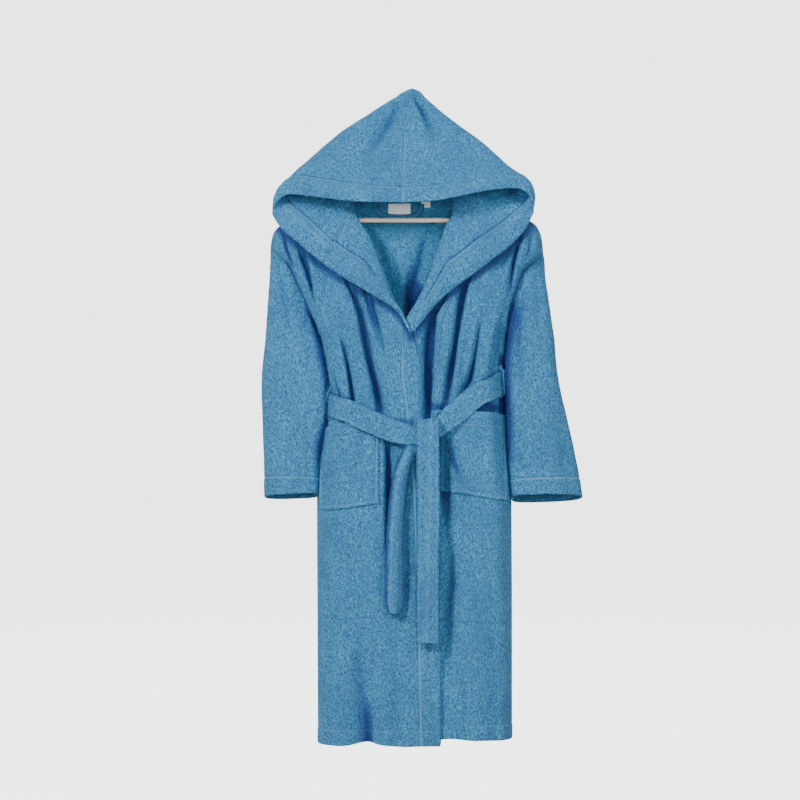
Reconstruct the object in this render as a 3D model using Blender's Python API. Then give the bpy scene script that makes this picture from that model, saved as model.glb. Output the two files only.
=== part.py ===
# A hooded bathrobe of terry cloth, hanging on a clothes hanger with its belt tied.
# The hook's inner crest is the origin. The front of the robe faces -Y, and +X is the wearer's left.
# Lengths are in millimetres and become metres when a mesh is made.

import math

import bpy
import numpy as np

MILLIMETRE = 0.001

# Cloth and the gaps between pieces
CLOTH = 3.0
SEAM_GAP = 0.3
LAYER_STEP = 3.6
UNDERLAP = 10.5
SEAM_INSET = 0.3
POCKET_FULL = 7.0
EDGE_STEP = 5.6

# Hanger
WIRE_RADIUS = 2.0
HOOK_RADIUS = 17.0
ARM_RADIUS = 5.0
ARM_CENTRE_HEIGHT = -116.0
ARM_REACH = 200.0
ARM_SLOPE = 0.45
ARM_DROOP = 0.00075
BAR_RADIUS = 4.7
BAR_HEIGHT = -241.0
BAR_INSET = 6.0
NECK_FERRULE_RADIUS = 5.0
REST_GAP = 1.8

# Robe
HEM_BACK = -1222.0
BELT_WIDTH = 40.0
BELT_THICK = 4.0
TAIL_WIDTH = 42.0
TAIL_THICK = 6.0
KNOT_CENTRE = (27.0, -80.0, -648.0)
KNOT_SIZE = (44.0, 20.0, 58.0)
LABEL_SIZE = (41.0, 20.0)
LABEL_THICK = 0.8
TAG_SIZE = (17.0, 12.0)
LOOP_THICK = 2.0

TERRY = (0.08, 0.31, 0.58)
CREAM = (0.80, 0.76, 0.68)
STEEL = (0.62, 0.62, 0.63)
WHITE = (0.85, 0.85, 0.83)


def table(names, *rows):
    """Named columns from short rows."""
    return dict(zip(names.split(), np.array(rows, float).T))


def follow(rows, name, at):
    """The smooth curve of a column against the table's first column, with no overshoot."""
    keys = rows[next(iter(rows))]
    values = rows[name]
    slopes = np.diff(values) / np.diff(keys)
    tangents = np.zeros_like(values)
    same_way = slopes[:-1] * slopes[1:] > 0
    sums = np.where(same_way, slopes[:-1] + slopes[1:], 1.0)
    tangents[1:-1] = np.where(same_way, 2 * slopes[:-1] * slopes[1:] / sums, 0.0)
    tangents[0], tangents[-1] = slopes[0], slopes[-1]
    at = np.clip(np.asarray(at, float), keys[0], keys[-1])
    spot = np.clip(np.searchsorted(keys, at, side="right") - 1, 0, len(keys) - 2)
    span = keys[spot + 1] - keys[spot]
    part = (at - keys[spot]) / span
    low, high = values[spot], values[spot + 1]
    return (
        low * (1 + 2 * part) * (1 - part) ** 2
        + tangents[spot] * span * part * (1 - part) ** 2
        + high * part**2 * (3 - 2 * part)
        - tangents[spot + 1] * span * part**2 * (1 - part)
    )


def mix(low, high, share):
    return low + (high - low) * share


def ramp(value, start, end):
    """0 before start, 1 after end, smooth between."""
    share = np.clip((value - start) / (end - start), 0.0, 1.0)
    return share * share * (3 - 2 * share)


def dome(share, squareness):
    """Rises from 0 at an edge to 1, steep at first, like the side of a rounded box."""
    outside = 1 - np.clip(share, 0.0, 1.0)
    return (1 - outside**squareness) ** (1 / squareness)


# Outlines, front view
# part runs from 0 at the hem to 1 at the shoulder tip; the armhole starts at ARMHOLE_PART.
ARMHOLE_PART = 0.78

SIDES = {
    "right": table(
        "part across height",
        (0.00, -179, -1236),
        (0.24, -180, -1000),
        (0.47, -181, -771),
        (0.54, -180, -701),
        (0.60, -176, -640),
        (0.65, -173, -590),
        (0.70, -172, -540),
        (0.78, -177, -458),
        (0.85, -200, -401),
        (0.90, -219, -359),
        (0.95, -238, -318),
        (1.00, -270, -293),
    ),
    "left": table(
        "part across height",
        (0.00, 191, -1227),
        (0.24, 191, -1000),
        (0.47, 190, -771),
        (0.54, 186, -701),
        (0.60, 182, -640),
        (0.65, 181, -590),
        (0.70, 180, -540),
        (0.78, 181, -452),
        (0.85, 186, -410),
        (0.90, 198, -372),
        (0.95, 214, -332),
        (1.00, 251, -302),
    ),
}

# Front edge from hem to V, then the roll line of the lapel up to the neck point
FRONT_EDGES = {
    "right": table(
        "part across height",
        (0.00, 53, -1236),
        (0.20, 50, -1039),
        (0.47, 43, -771),
        (0.62, 32, -616),
        (0.70, 19, -536),
        (0.76, 2, -470),
        (0.80, -10, -439),
        (0.86, -41, -380),
        (0.90, -59, -333),
        (0.94, -82, -276),
        (0.98, -114, -207),
        (1.00, -107, -163),
    ),
    "left": table(
        "part across height",
        (0.00, -40, -1224),
        (0.24, -35, -1000),
        (0.47, -28, -771),
        (0.62, -22, -616),
        (0.70, -17, -536),
        (0.80, -10, -435),
        (0.84, 13, -393),
        (0.88, 36, -344),
        (0.92, 52, -296),
        (0.95, 67, -251),
        (0.98, 80, -217),
        (1.00, 73, -143),
    ),
}

# Free edge of each lapel, from the V up to the neck seam
LAPEL_EDGES = {
    "right": table(
        "part across height",
        (0.0, -2, -455),
        (0.2, -22, -416),
        (0.5, -78, -378),
        (0.8, -128, -348),
        (1.0, -166, -322),
    ),
    "left": table(
        "part across height",
        (0.0, 2, -452),
        (0.2, 30, -414),
        (0.5, 66, -378),
        (0.8, 112, -343),
        (1.0, 150, -314),
    ),
}

# Depths at each height: side seam, front and back faces, and how wide the sides round off
TORSO = table(
    "height seam front back right_turn left_turn squareness",
    (-1236, 4, -62, 36, 52, 52, 2.0),
    (-1000, 6, -60, 36, 50, 50, 2.0),
    (-771, 12, -57, 34, 46, 44, 1.9),
    (-701, 18, -54, 33, 40, 36, 1.6),
    (-640, 22, -50, 32, 42, 38, 1.4),
    (-590, 23, -47, 31, 46, 44, 1.35),
    (-540, 21, -47, 30, 40, 44, 1.4),
    (-458, 13, -49, 27, 34, 34, 1.6),
    (-400, 8, -47, 25, 40, 40, 2.0),
    (-350, 4, -43, 23, 44, 44, 2.0),
    (-300, 0, -37, 20, 46, 46, 2.0),
    (-250, 0, -30, 18, 46, 46, 2.0),
    (-207, 0, -24, 16, 40, 40, 2.0),
    (-143, 0, -18, 14, 30, 30, 2.0),
)

# How far the armhole stands open at its edge, towards the front and the back
ARMHOLE_OPEN = table(
    "part front back",
    (0.78, 0, 0),
    (0.82, -14, 4),
    (0.88, -22, 8),
    (0.94, -17, 10),
    (0.98, -11, 8),
    (0.99, -8, 7),
    (0.996, -5, 5),
    (1.00, 0, 0),
)

# Shoulder beyond the end of the hanger arm
SHOULDER_DROOP = {
    "right": table(
        "reach height",
        (200, -227),
        (225, -237),
        (250, -247),
        (262, -258),
        (268, -275),
        (270, -293),
    ),
    "left": table(
        "reach height",
        (200, -227),
        (218, -236),
        (234, -245),
        (244, -260),
        (249, -280),
        (251, -302),
    ),
}

# Sleeve sections below the armhole: outer and inner edge, half depth, drop of the back edge
SLEEVES = {
    "right": table(
        "outer_x outer_z inner_x inner_z middle_y half_depth tilt",
        (-273, -352, -183, -486, 0, 31, 0),
        (-280, -445, -180, -525, -1, 35, 0),
        (-285, -520, -179, -570, -2, 36, 0),
        (-286, -600, -180, -625, -3, 36, 2),
        (-284, -680, -184, -690, -4, 35, 6),
        (-281, -760, -189, -756, -4, 33, 12),
    ),
    "left": table(
        "outer_x outer_z inner_x inner_z middle_y half_depth tilt",
        (256, -360, 189, -482, 0, 31, 0),
        (268, -443, 188, -522, -1, 35, 0),
        (278, -522, 189.5, -566, -2, 37, 0),
        (293, -600, 190, -620, -3, 38, 3),
        (309, -674, 194, -686, -4, 38, 8),
        (326, -757, 202, -760, -4, 36, 18),
    ),
}

# Back neck edge, from the neck point round behind the hanger arm to the middle of the back
NECK_LOW = (-17.0, 13.0, -207.0)
BACK_NECK = table(
    "part depth drop",
    (0.00, 0.0, 0.00),
    (0.06, 7.6, 0.06),
    (0.15, 11.6, 0.22),
    (0.36, 12.6, 0.54),
    (0.68, 13.0, 0.88),
    (1.00, 13.0, 1.00),
)

# Hood: centre seam down the front, and down the back
HOOD_SEAM_FRONT = table(
    "part across depth height",
    (0.00, 0, -7, 4.5),
    (0.10, -8, -14, -18),
    (0.35, -14, -34, -82),
    (0.60, -16, -55, -135),
    (0.80, -17, -71, -174),
    (1.00, -17, -84, -207),
)
HOOD_SEAM_BACK = table(
    "part across depth height",
    (0.00, 0, 0, 8.4),
    (0.06, 0, 6, 5.0),
    (0.18, -6, 14, -20),
    (0.50, -13, 21, -110),
    (0.80, -17, 18, -170),
    (1.00, -17, 13, -207),
)

# Fold that runs from the peak down to each corner of the hood
HOOD_FOLDS = {
    "right": table(
        "part across depth height",
        (0.00, 0, 0, 8.4),
        (0.04, -12, 0, 5.5),
        (0.10, -29, 0, -9),
        (0.38, -122, -7, -68),
        (0.55, -169, -14, -103),
        (0.68, -205, -22, -135),
        (0.80, -231, -30, -160),
        (0.89, -252, -36, -186),
        (0.95, -262, -41, -203),
        (1.00, -266, -43, -226),
    ),
    "left": table(
        "part across depth height",
        (0.00, 0, 0, 8.4),
        (0.04, 13, 0, 5.0),
        (0.10, 27, 0, -14),
        (0.33, 93, -5, -67),
        (0.60, 175, -15, -129),
        (0.74, 209, -24, -163),
        (0.86, 230, -33, -186),
        (0.94, 235, -39, -203),
        (1.00, 230, -43, -226),
    ),
}

# Free edge of the hood across the front, from the centre seam round to the corner
HOOD_EDGES = {
    "right": table(
        "part across depth height",
        (0.00, -17, -84, -207),
        (0.22, -70, -83, -207),
        (0.45, -124, -78, -204),
        (0.65, -180, -69, -196),
        (0.82, -232, -58, -190),
        (0.92, -257, -50, -205),
        (1.00, -266, -43, -226),
    ),
    "left": table(
        "part across depth height",
        (0.00, -17, -84, -207),
        (0.25, 40, -83, -205),
        (0.50, 98, -77, -194),
        (0.70, 152, -68, -183),
        (0.83, 198, -58, -178),
        (0.92, 224, -50, -196),
        (1.00, 230, -43, -226),
    ),
}

# Free edge of the hood from its corner back to the neck seam on the lapel
HOOD_TURNED_EDGES = {
    "right": table(
        "part across depth height",
        (0.0, -266, -43, -226),
        (0.2, -254, -42, -246),
        (0.6, -212, -40, -284),
        (1.0, -166, 0, -322),
    ),
    "left": table(
        "part across depth height",
        (0.0, 230, -43, -226),
        (0.2, 218, -42, -250),
        (0.6, 186, -40, -286),
        (1.0, 150, 0, -314),
    ),
}

# Largest folds: troughs pressed into the fronts, seen from the front
FRONT_FOLDS = table(
    "from_x from_z to_x to_z half_width depth",
    (-122, -353, -62, -610, 12, 12),
    (-135, -456, -108, -583, 12, 9),
    (106, -353, 70, -600, 14, 11),
    (38, -410, 34, -610, 13, 16),
    (136, -436, 116, -540, 12, 8),
    (-100, -850, -88, -1225, 22, 13),
    (-20, -900, -5, -1230, 16, 8),
    (72, -870, 66, -1100, 13, 12),
    (140, -900, 150, -1225, 24, 7),
    (-150, -900, -152, -1230, 14, 6),
)
BACK_FOLDS = table(
    "from_x from_z to_x to_z half_width depth",
    (-90, -300, -110, -1215, 26, 9),
    (-15, -380, 10, -1215, 30, 8),
    (85, -300, 110, -1215, 26, 9),
)

BELT_RUN = table(
    "part height",
    (0.00, -651),
    (0.04, -645),
    (0.10, -622),
    (0.17, -596),
    (0.25, -584),
    (0.50, -572),
    (0.75, -553),
    (0.80, -556),
    (0.88, -578),
    (0.95, -612),
    (1.00, -634),
)

# Gap between the body and the belt: over the pockets and at the knot it stands further off
BELT_STAND = table(
    "from_knot gap",
    (0.000, 20.0),
    (0.045, 18.0),
    (0.090, 15.0),
    (0.140, 14.0),
    (0.172, 10.0),
    (0.196, 2.6),
    (0.500, 2.2),
)


def hand_sign(hand):
    return -1.0 if hand == "right" else 1.0


def arm_height(reach):
    """Height of the hanger arm's centre at a distance from the hook's line."""
    return ARM_CENTRE_HEIGHT - ARM_SLOPE * reach - ARM_DROOP * reach**2


def shoulder_height(across, hand):
    """Height of the shoulder seam: on the hanger arm, then drooping past its end."""
    reach = np.abs(across)
    slope = ARM_SLOPE + 2 * ARM_DROOP * reach
    lift = (ARM_RADIUS + REST_GAP + CLOTH / 2) * np.sqrt(1 + slope**2)
    on_arm = arm_height(reach) + lift
    past_arm = follow(SHOULDER_DROOP[hand], "height", reach)
    share = ramp(reach, ARM_REACH - 12, ARM_REACH + 12)
    return mix(on_arm, past_arm, share)


def side_across(height, hand):
    side = SIDES[hand]
    return np.interp(height, side["height"], side["across"])


def fold_depth(folds, across, height):
    """Sum of the troughs at a place, each dying out at its ends."""
    total = np.zeros(np.broadcast(across, height).shape)
    for start_x, start_z, end_x, end_z, half_width, depth in zip(*folds.values()):
        run_x, run_z = end_x - start_x, end_z - start_z
        length = math.hypot(run_x, run_z)
        along = ((across - start_x) * run_x + (height - start_z) * run_z) / length
        off = ((across - start_x) * run_z - (height - start_z) * run_x) / length
        fade = ramp(along, 0, 0.25 * length) * (1 - ramp(along, 0.8 * length, length))
        total = total + depth * np.exp(-((off / half_width) ** 2)) * fade
    return total


def panel_depth(across, height, hand, face, folded=True):
    """Y of the cloth's middle on the front or back face at a place in the front view."""
    side = side_across(height, hand)
    seam = follow(TORSO, "seam", height)
    part = np.interp(height, SIDES[hand]["height"], SIDES[hand]["part"])
    seam = np.where(part > ARMHOLE_PART, follow(ARMHOLE_OPEN, face, part), seam)
    full = follow(TORSO, face, height)
    if folded and face == "front":
        full = full + fold_depth(FRONT_FOLDS, across, height)
    if folded and face == "back":
        full = full - fold_depth(BACK_FOLDS, across, height)
    from_side = np.abs(across - side) / follow(TORSO, hand + "_turn", height)
    rounded = dome(from_side, follow(TORSO, "squareness", height))
    below_shoulder = shoulder_height(across, hand) - height
    capped = dome(below_shoulder / 26.0, 2.0)
    return capped * mix(seam, full, rounded)


def front_depth(across, height, hand, folded=True):
    """Y of a front's cloth. The left front steps back where the right one laps over it."""
    depth = panel_depth(across, height, hand, "front", folded)
    if hand == "left":
        edge = follow_edge("right", height)
        depth = depth + UNDERLAP * (1 - ramp(across, edge + 8, edge + 42))
    return depth


def follow_edge(hand, height):
    edge = FRONT_EDGES[hand]
    return np.interp(height, edge["height"], edge["across"])


def spread(bottom, top, start, end, shares_across, shares_along):
    """Fills four border curves, each an array of points, with a smooth grid."""
    across = shares_across[None, :, None]
    along = shares_along[:, None, None]
    rows = mix(bottom[None], top[None], along)
    columns = mix(start[:, None], end[:, None], across)
    low = mix(bottom[0], bottom[-1], across)
    high = mix(top[0], top[-1], across)
    return rows + columns - mix(low, high, along)


def slopes_out(grid, around=False):
    """Unit vectors square to the grid at each point."""
    along = np.gradient(grid, axis=0)
    if around:
        across = np.roll(grid, -1, axis=1) - np.roll(grid, 1, axis=1)
    else:
        across = np.gradient(grid, axis=1)
    out = np.cross(along, across)
    size = np.linalg.norm(out, axis=2, keepdims=True)
    return out / np.maximum(size, 1e-9)


def cloth_piece(grid, outward, around=False):
    """A grid of middle points with its outward directions."""
    out = slopes_out(grid, around)
    if np.sum(out * outward(grid)) < 0:
        out = -out
    return {"grid": grid.copy(), "out": out, "around": around}


def sew(first, first_edge, second, second_edge, turned_over=False):
    """Gives two edges that meet one shared direction, so that their cut faces lie side by side."""
    sign = -1.0 if turned_over else 1.0
    shared = first["out"][first_edge] + sign * second["out"][second_edge]
    shared = shared / np.maximum(np.linalg.norm(shared, axis=-1, keepdims=True), 1e-9)
    first["out"][first_edge] = shared
    second["out"][second_edge] = sign * shared


def draw_back(piece, edge, inner, distance=SEAM_INSET):
    """Moves an edge a little towards the next line of points, to leave the seam's gap."""
    grid = piece["grid"]
    way = grid[inner] - grid[edge]
    grid[edge] += distance * way / np.linalg.norm(way, axis=-1, keepdims=True)


def make_material(name, colour, roughness, metallic=0.0):
    material = bpy.data.materials.new(name)
    material.use_nodes = True
    shader = material.node_tree.nodes["Principled BSDF"]
    shader.inputs["Base Color"].default_value = (*colour, 1.0)
    shader.inputs["Roughness"].default_value = roughness
    shader.inputs["Metallic"].default_value = metallic
    return material


def add_mesh(name, points, faces, colour, roughness=0.9, metallic=0.0):
    mesh = bpy.data.meshes.new(name)
    mesh.from_pydata([tuple(p * MILLIMETRE for p in point) for point in points], [], faces)
    mesh.validate()
    mesh.shade_smooth()
    mesh.set_sharp_from_angle(angle=math.radians(50))
    thing = bpy.data.objects.new(name, mesh)
    bpy.context.scene.collection.objects.link(thing)
    mesh.materials.append(make_material(name, colour, roughness, metallic))
    return thing


def add_wall(name, piece, thick=CLOTH, colour=TERRY):
    """A wall of even thickness on a grid: two faces and the strips that close its edges."""
    grid, out = piece["grid"], piece["out"]
    rows, columns = grid.shape[:2]
    points = np.concatenate([
        (grid + out * thick / 2).reshape(-1, 3),
        (grid - out * thick / 2).reshape(-1, 3),
    ])
    inner = rows * columns
    wraps = columns if piece["around"] else columns - 1
    sign = facing(grid, out, piece["around"])
    faces = []
    for i in range(rows - 1):
        for j in range(wraps):
            k = (j + 1) % columns
            corners = [i * columns + j, i * columns + k, (i + 1) * columns + k, (i + 1) * columns + j]
            faces += split(corners, sign, grid)
            faces += split([inner + c for c in corners], -sign, grid)
    border = []
    for i in (0, rows - 1):
        for j in range(wraps):
            k = (j + 1) % columns
            border.append((i * columns + j, i * columns + k, 1 if i == 0 else -1))
    if not piece["around"]:
        for j in (0, columns - 1):
            for i in range(rows - 1):
                border.append((i * columns + j, (i + 1) * columns + j, -1 if j == 0 else 1))
    for a, b, turn in border:
        face = [a, inner + a, inner + b, b]
        faces.append(face if turn * sign > 0 else face[::-1])
    return add_mesh(name, points, faces, colour)


def facing(grid, out, around):
    """1 where the grid's own turn of rows and columns already faces outwards."""
    own = slopes_out(grid, around)
    return -1.0 if np.sum(own * out) > 0 else 1.0


def split(corners, sign, grid):
    """Two triangles on four corners, always cut the same way."""
    a, b, c, d = corners
    pair = [[a, b, c], [a, c, d]]
    return pair if sign > 0 else [face[::-1] for face in pair]


def sweep(name, centres, widths, outs, half_width, half_thick, colour):
    """A flat band: four corners on each section, carried along its centres."""
    points = []
    halves = np.broadcast_to(half_width, len(centres))
    for centre, width, out, half in zip(centres, widths, outs, halves):
        for across, through in ((-1, -1), (1, -1), (1, 1), (-1, 1)):
            points.append(centre + width * across * half + out * through * half_thick)
    faces = []
    count = len(centres)
    for i in range(count - 1):
        for j in range(4):
            k = (j + 1) % 4
            a, b, c, d = 4 * i + j, 4 * i + k, 4 * i + 4 + k, 4 * i + 4 + j
            faces += [[a, b, c], [a, c, d]]
    faces += [[3, 2, 1, 0], [4 * count - 4, 4 * count - 3, 4 * count - 2, 4 * count - 1]]
    points = np.array(points)
    if solid_volume(points, faces) < 0:
        faces = [face[::-1] for face in faces]
    return add_mesh(name, points, faces, colour)


def solid_volume(points, faces):
    total = 0.0
    for face in faces:
        for j in range(1, len(face) - 1):
            a, b, c = points[face[0]], points[face[j]], points[face[j + 1]]
            total += np.dot(a, np.cross(b, c)) / 6
    return total


def tube(name, centres, radii, sides, colour, roughness, metallic=0.0):
    """A round rod along points in the hanger's plane, closed at both ends."""
    centres = np.array(centres, float)
    along = np.gradient(centres, axis=0)
    along /= np.linalg.norm(along, axis=1, keepdims=True)
    through = np.array([0.0, 1.0, 0.0])
    points = []
    for centre, way, radius in zip(centres, along, radii):
        beside = np.cross(way, through)
        for j in range(sides):
            angle = 2 * math.pi * j / sides
            points.append(centre + radius * (beside * math.cos(angle) + through * math.sin(angle)))
    faces = []
    count = len(centres)
    for i in range(count - 1):
        for j in range(sides):
            k = (j + 1) % sides
            faces.append([i * sides + j, i * sides + k, (i + 1) * sides + k, (i + 1) * sides + j])
    faces.append(list(range(sides))[::-1])
    faces.append([(count - 1) * sides + j for j in range(sides)])
    points = np.array(points)
    if solid_volume(points, faces) < 0:
        faces = [face[::-1] for face in faces]
    return add_mesh(name, points, faces, colour, roughness, metallic)


# Body
BODY_ROWS = np.array([0, 0.08, 0.16, 0.24, 0.31, 0.38, 0.46, 0.51, 0.56, 0.605, 0.63, 0.67, 0.72])
UPPER_ROWS = np.array([0.78, 0.80, 0.83, 0.86, 0.89, 0.92, 0.95, 0.98, 0.989, 0.996, 1.00])
PANEL_ROWS = np.concatenate([BODY_ROWS, UPPER_ROWS])
ARMHOLE_ROW = len(BODY_ROWS)
V_ROW = ARMHOLE_ROW + 1
LAPEL_TOP_ROW = len(PANEL_ROWS) - 4
FRONT_SHARES = np.array([0, 0.03, 0.08, 0.16, 0.26, 0.37, 0.47, 0.55, 0.61, 0.72, 0.86, 1.0])
NECK_STEPS = len(BACK_NECK["part"]) - 1


def flat_curve(rows, shares):
    across = follow(rows, "across", shares)
    height = follow(rows, "height", shares)
    return np.stack([across, 0 * across, height], axis=-1)


def shoulder_curve(hand, shares):
    """From the tip (share 0) to the neck point (share 1)."""
    tip = SIDES[hand]["across"][-1]
    neck = FRONT_EDGES[hand]["across"][-1]
    across = tip + (neck - tip) * shares**1.25
    height = shoulder_height(across, hand)
    height = np.where(shares <= 0, SIDES[hand]["height"][-1], height)
    return np.stack([across, 0 * across, height], axis=-1)


def front_panel(hand):
    shares = FRONT_SHARES
    side = flat_curve(SIDES[hand], PANEL_ROWS)
    edge = flat_curve(FRONT_EDGES[hand], PANEL_ROWS)
    top = shoulder_curve(hand, shares)
    edge[-1] = top[-1]
    hem = mix(side[0], edge[0], shares[:, None])
    grid = spread(hem, top, side, edge, shares, PANEL_ROWS)
    grid[..., 1] = front_depth(grid[..., 0], grid[..., 2], hand)
    grid[:, 0, 1] = side_seam_depth(hand, "front")
    grid[-1, :, 1] = 0.0
    return cloth_piece(grid, lambda g: np.array([0.0, -1.0, 0.0]))


def side_seam_depth(hand, face):
    height = follow(SIDES[hand], "height", PANEL_ROWS)
    seam = follow(TORSO, "seam", height)
    opened = follow(ARMHOLE_OPEN, face, PANEL_ROWS)
    share = ramp(PANEL_ROWS, ARMHOLE_PART, 1.0)
    seam_here = np.where(PANEL_ROWS > ARMHOLE_PART, mix(seam[ARMHOLE_ROW], 0.0, share), seam)
    return seam_here + opened


def back_panel():
    half = FRONT_SHARES
    right_top = shoulder_curve("right", half)
    left_top = shoulder_curve("left", half)
    neck = neck_curve()
    top = np.concatenate([right_top, neck[1:-1], left_top[::-1]])
    steps = np.linalg.norm(np.diff(top, axis=0), axis=1)
    shares = np.concatenate([[0], np.cumsum(steps)]) / steps.sum()
    shares = mix(shares, (top[:, 0] - top[0, 0]) / (top[-1, 0] - top[0, 0]), 0.5)
    right = flat_curve(SIDES["right"], PANEL_ROWS)
    left = flat_curve(SIDES["left"], PANEL_ROWS)
    top_depth = top[:, 1].copy()
    top[:, 1] = 0
    hem = mix(right[0], left[0], shares[:, None])
    grid = spread(hem, top, right, left, shares, PANEL_ROWS)
    lift = HEM_BACK - grid[0, :, 2]
    grid[..., 2] += lift[None] * (1 - ramp(PANEL_ROWS, 0, 0.3))[:, None] * edge_fade(shares)[None]
    middle = len(shares) // 2
    for hand, part in (("right", slice(0, middle)), ("left", slice(middle, None))):
        x, z = grid[:, part, 0], grid[:, part, 2]
        grid[:, part, 1] = panel_depth(x, z, hand, "back")
    near_top = ramp(PANEL_ROWS, 0.90, 1.0)[:, None]
    in_neck = (top_depth > 0)[None]
    held = np.broadcast_to(top_depth[None], grid.shape[:2])
    near_neck = np.maximum(mix(grid[..., 1], held, near_top), np.minimum(grid[..., 1], held + 2.0))
    grid[..., 1] = np.where(in_neck, near_neck, grid[..., 1])
    grid[-1, :, 1] = top_depth
    grid[:, 0, 1] = side_seam_depth("right", "back")
    grid[:, -1, 1] = side_seam_depth("left", "back")
    first = len(half) - 1
    piece = cloth_piece(grid, lambda g: np.array([0.0, 1.0, 0.0]))
    piece["neck"] = slice(first, first + 2 * NECK_STEPS + 1)
    piece["half"] = half
    return piece


def edge_fade(shares):
    return ramp(shares, 0, 0.06) * (1 - ramp(shares, 0.94, 1))


def neck_curve():
    """Back neck edge from the right neck point through its lowest point to the left one."""
    ends = [shoulder_curve("right", np.array([1.0]))[0], shoulder_curve("left", np.array([1.0]))[0]]
    low = np.array(NECK_LOW)
    halves = []
    for end in ends:
        line = mix(end, low, BACK_NECK["part"][:, None])
        line[:, 1] = BACK_NECK["depth"]
        line[:, 2] = mix(end[2], low[2], BACK_NECK["drop"])
        halves.append(line)
    return np.concatenate([halves[0], halves[1][::-1][1:]])


def lapel(hand, front):
    """The turned-out upper edge of a front: on its points, moved out, from the V to the neck seam."""
    count = LAPEL_TOP_ROW - V_ROW + 1
    along = np.linspace(0, 1, count)
    roll = front["grid"][V_ROW:LAPEL_TOP_ROW + 1, -1].copy()
    free = flat_curve(LAPEL_EDGES[hand], along)
    across = np.array([0, 0.1, 0.3, 0.55, 0.8, 1.0])
    grid = mix(roll[:, None], free[:, None], across[None, :, None])
    depth = front_depth(grid[..., 0], grid[..., 2], hand, folded=False)
    belly = LAYER_STEP + 0.6 + 7.0 * np.sin(math.pi * across)[None] * ramp(along, 0, 0.5)[:, None]
    belly = belly + (3.0 * across)[None] * ramp(along, 0.2, 0.6)[:, None]
    grid[..., 1] = depth - belly
    return cloth_piece(grid, lambda g: np.array([0.0, -1.0, 0.0]))


# Sleeves
def sleeve(hand, front, back):
    """Rings from the armhole down to the cuff; the first one follows the body's armhole."""
    rows = SLEEVES[hand]
    last = len(PANEL_ROWS) - 1
    back_column = 0 if hand == "right" else -1
    front_edge = front["grid"][ARMHOLE_ROW:last + 1, 0][::-1]
    back_edge = back["grid"][ARMHOLE_ROW:last + 1, back_column]
    first = np.concatenate([front_edge, back_edge[1:-1]])
    count = len(first)
    half = count // 2
    angles = np.linspace(0, 2 * math.pi, 2 * half + 1)[:-1]
    rings = [first]
    for outer_x, outer_z, inner_x, inner_z, middle_y, half_depth, tilt in zip(*rows.values()):
        outer = np.array([outer_x, middle_y, outer_z])
        inner = np.array([inner_x, middle_y, inner_z])
        centre = (outer + inner) / 2
        reach = np.sign(np.cos(angles)) * np.abs(np.cos(angles)) ** 0.9
        stand = np.sign(np.sin(angles)) * np.abs(np.sin(angles)) ** 0.9
        ring = centre + (outer - centre) * reach[:, None]
        ring[:, 1] -= half_depth * stand
        ring[:, 2] += tilt * 0.5 * (stand - 1)
        rings.append(ring)
    grid = np.array(rings)
    middle = grid.mean(axis=1, keepdims=True)
    piece = cloth_piece(grid, lambda g: g - middle, around=True)
    return piece


# Hood
HOOD_BEFORE = np.array([0, 0.14, 0.30, 0.48, 0.66, 0.82, 0.94, 1.0])
HOOD_BEHIND = np.array([0, 0.05, 0.15, 0.30, 0.48, 0.66, 0.84, 1.0])


def space_curve(rows, shares):
    return np.stack([follow(rows, name, shares) for name in ("across", "depth", "height")], axis=-1)


def neck_seam(hand, back, front, turned):
    """Where the hood is sewn on: back neck, over the shoulder along the front's edge, top of the lapel."""
    neck = back["grid"][-1, back["neck"]]
    neck = neck[NECK_STEPS::-1] if hand == "right" else neck[NECK_STEPS:]
    neck = np.insert(neck, 1, mix(neck[0], neck[1], 0.3), axis=0)
    neck[1:-1, 2] += SEAM_GAP
    neck[-1, 2] += LAYER_STEP
    edge = slice(LAPEL_TOP_ROW + 1, -1)
    over = front["grid"][edge, -1] + EDGE_STEP * front["out"][edge, -1]
    return np.concatenate([neck, over[::-1], turned["grid"][-1]]), len(neck)


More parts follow.
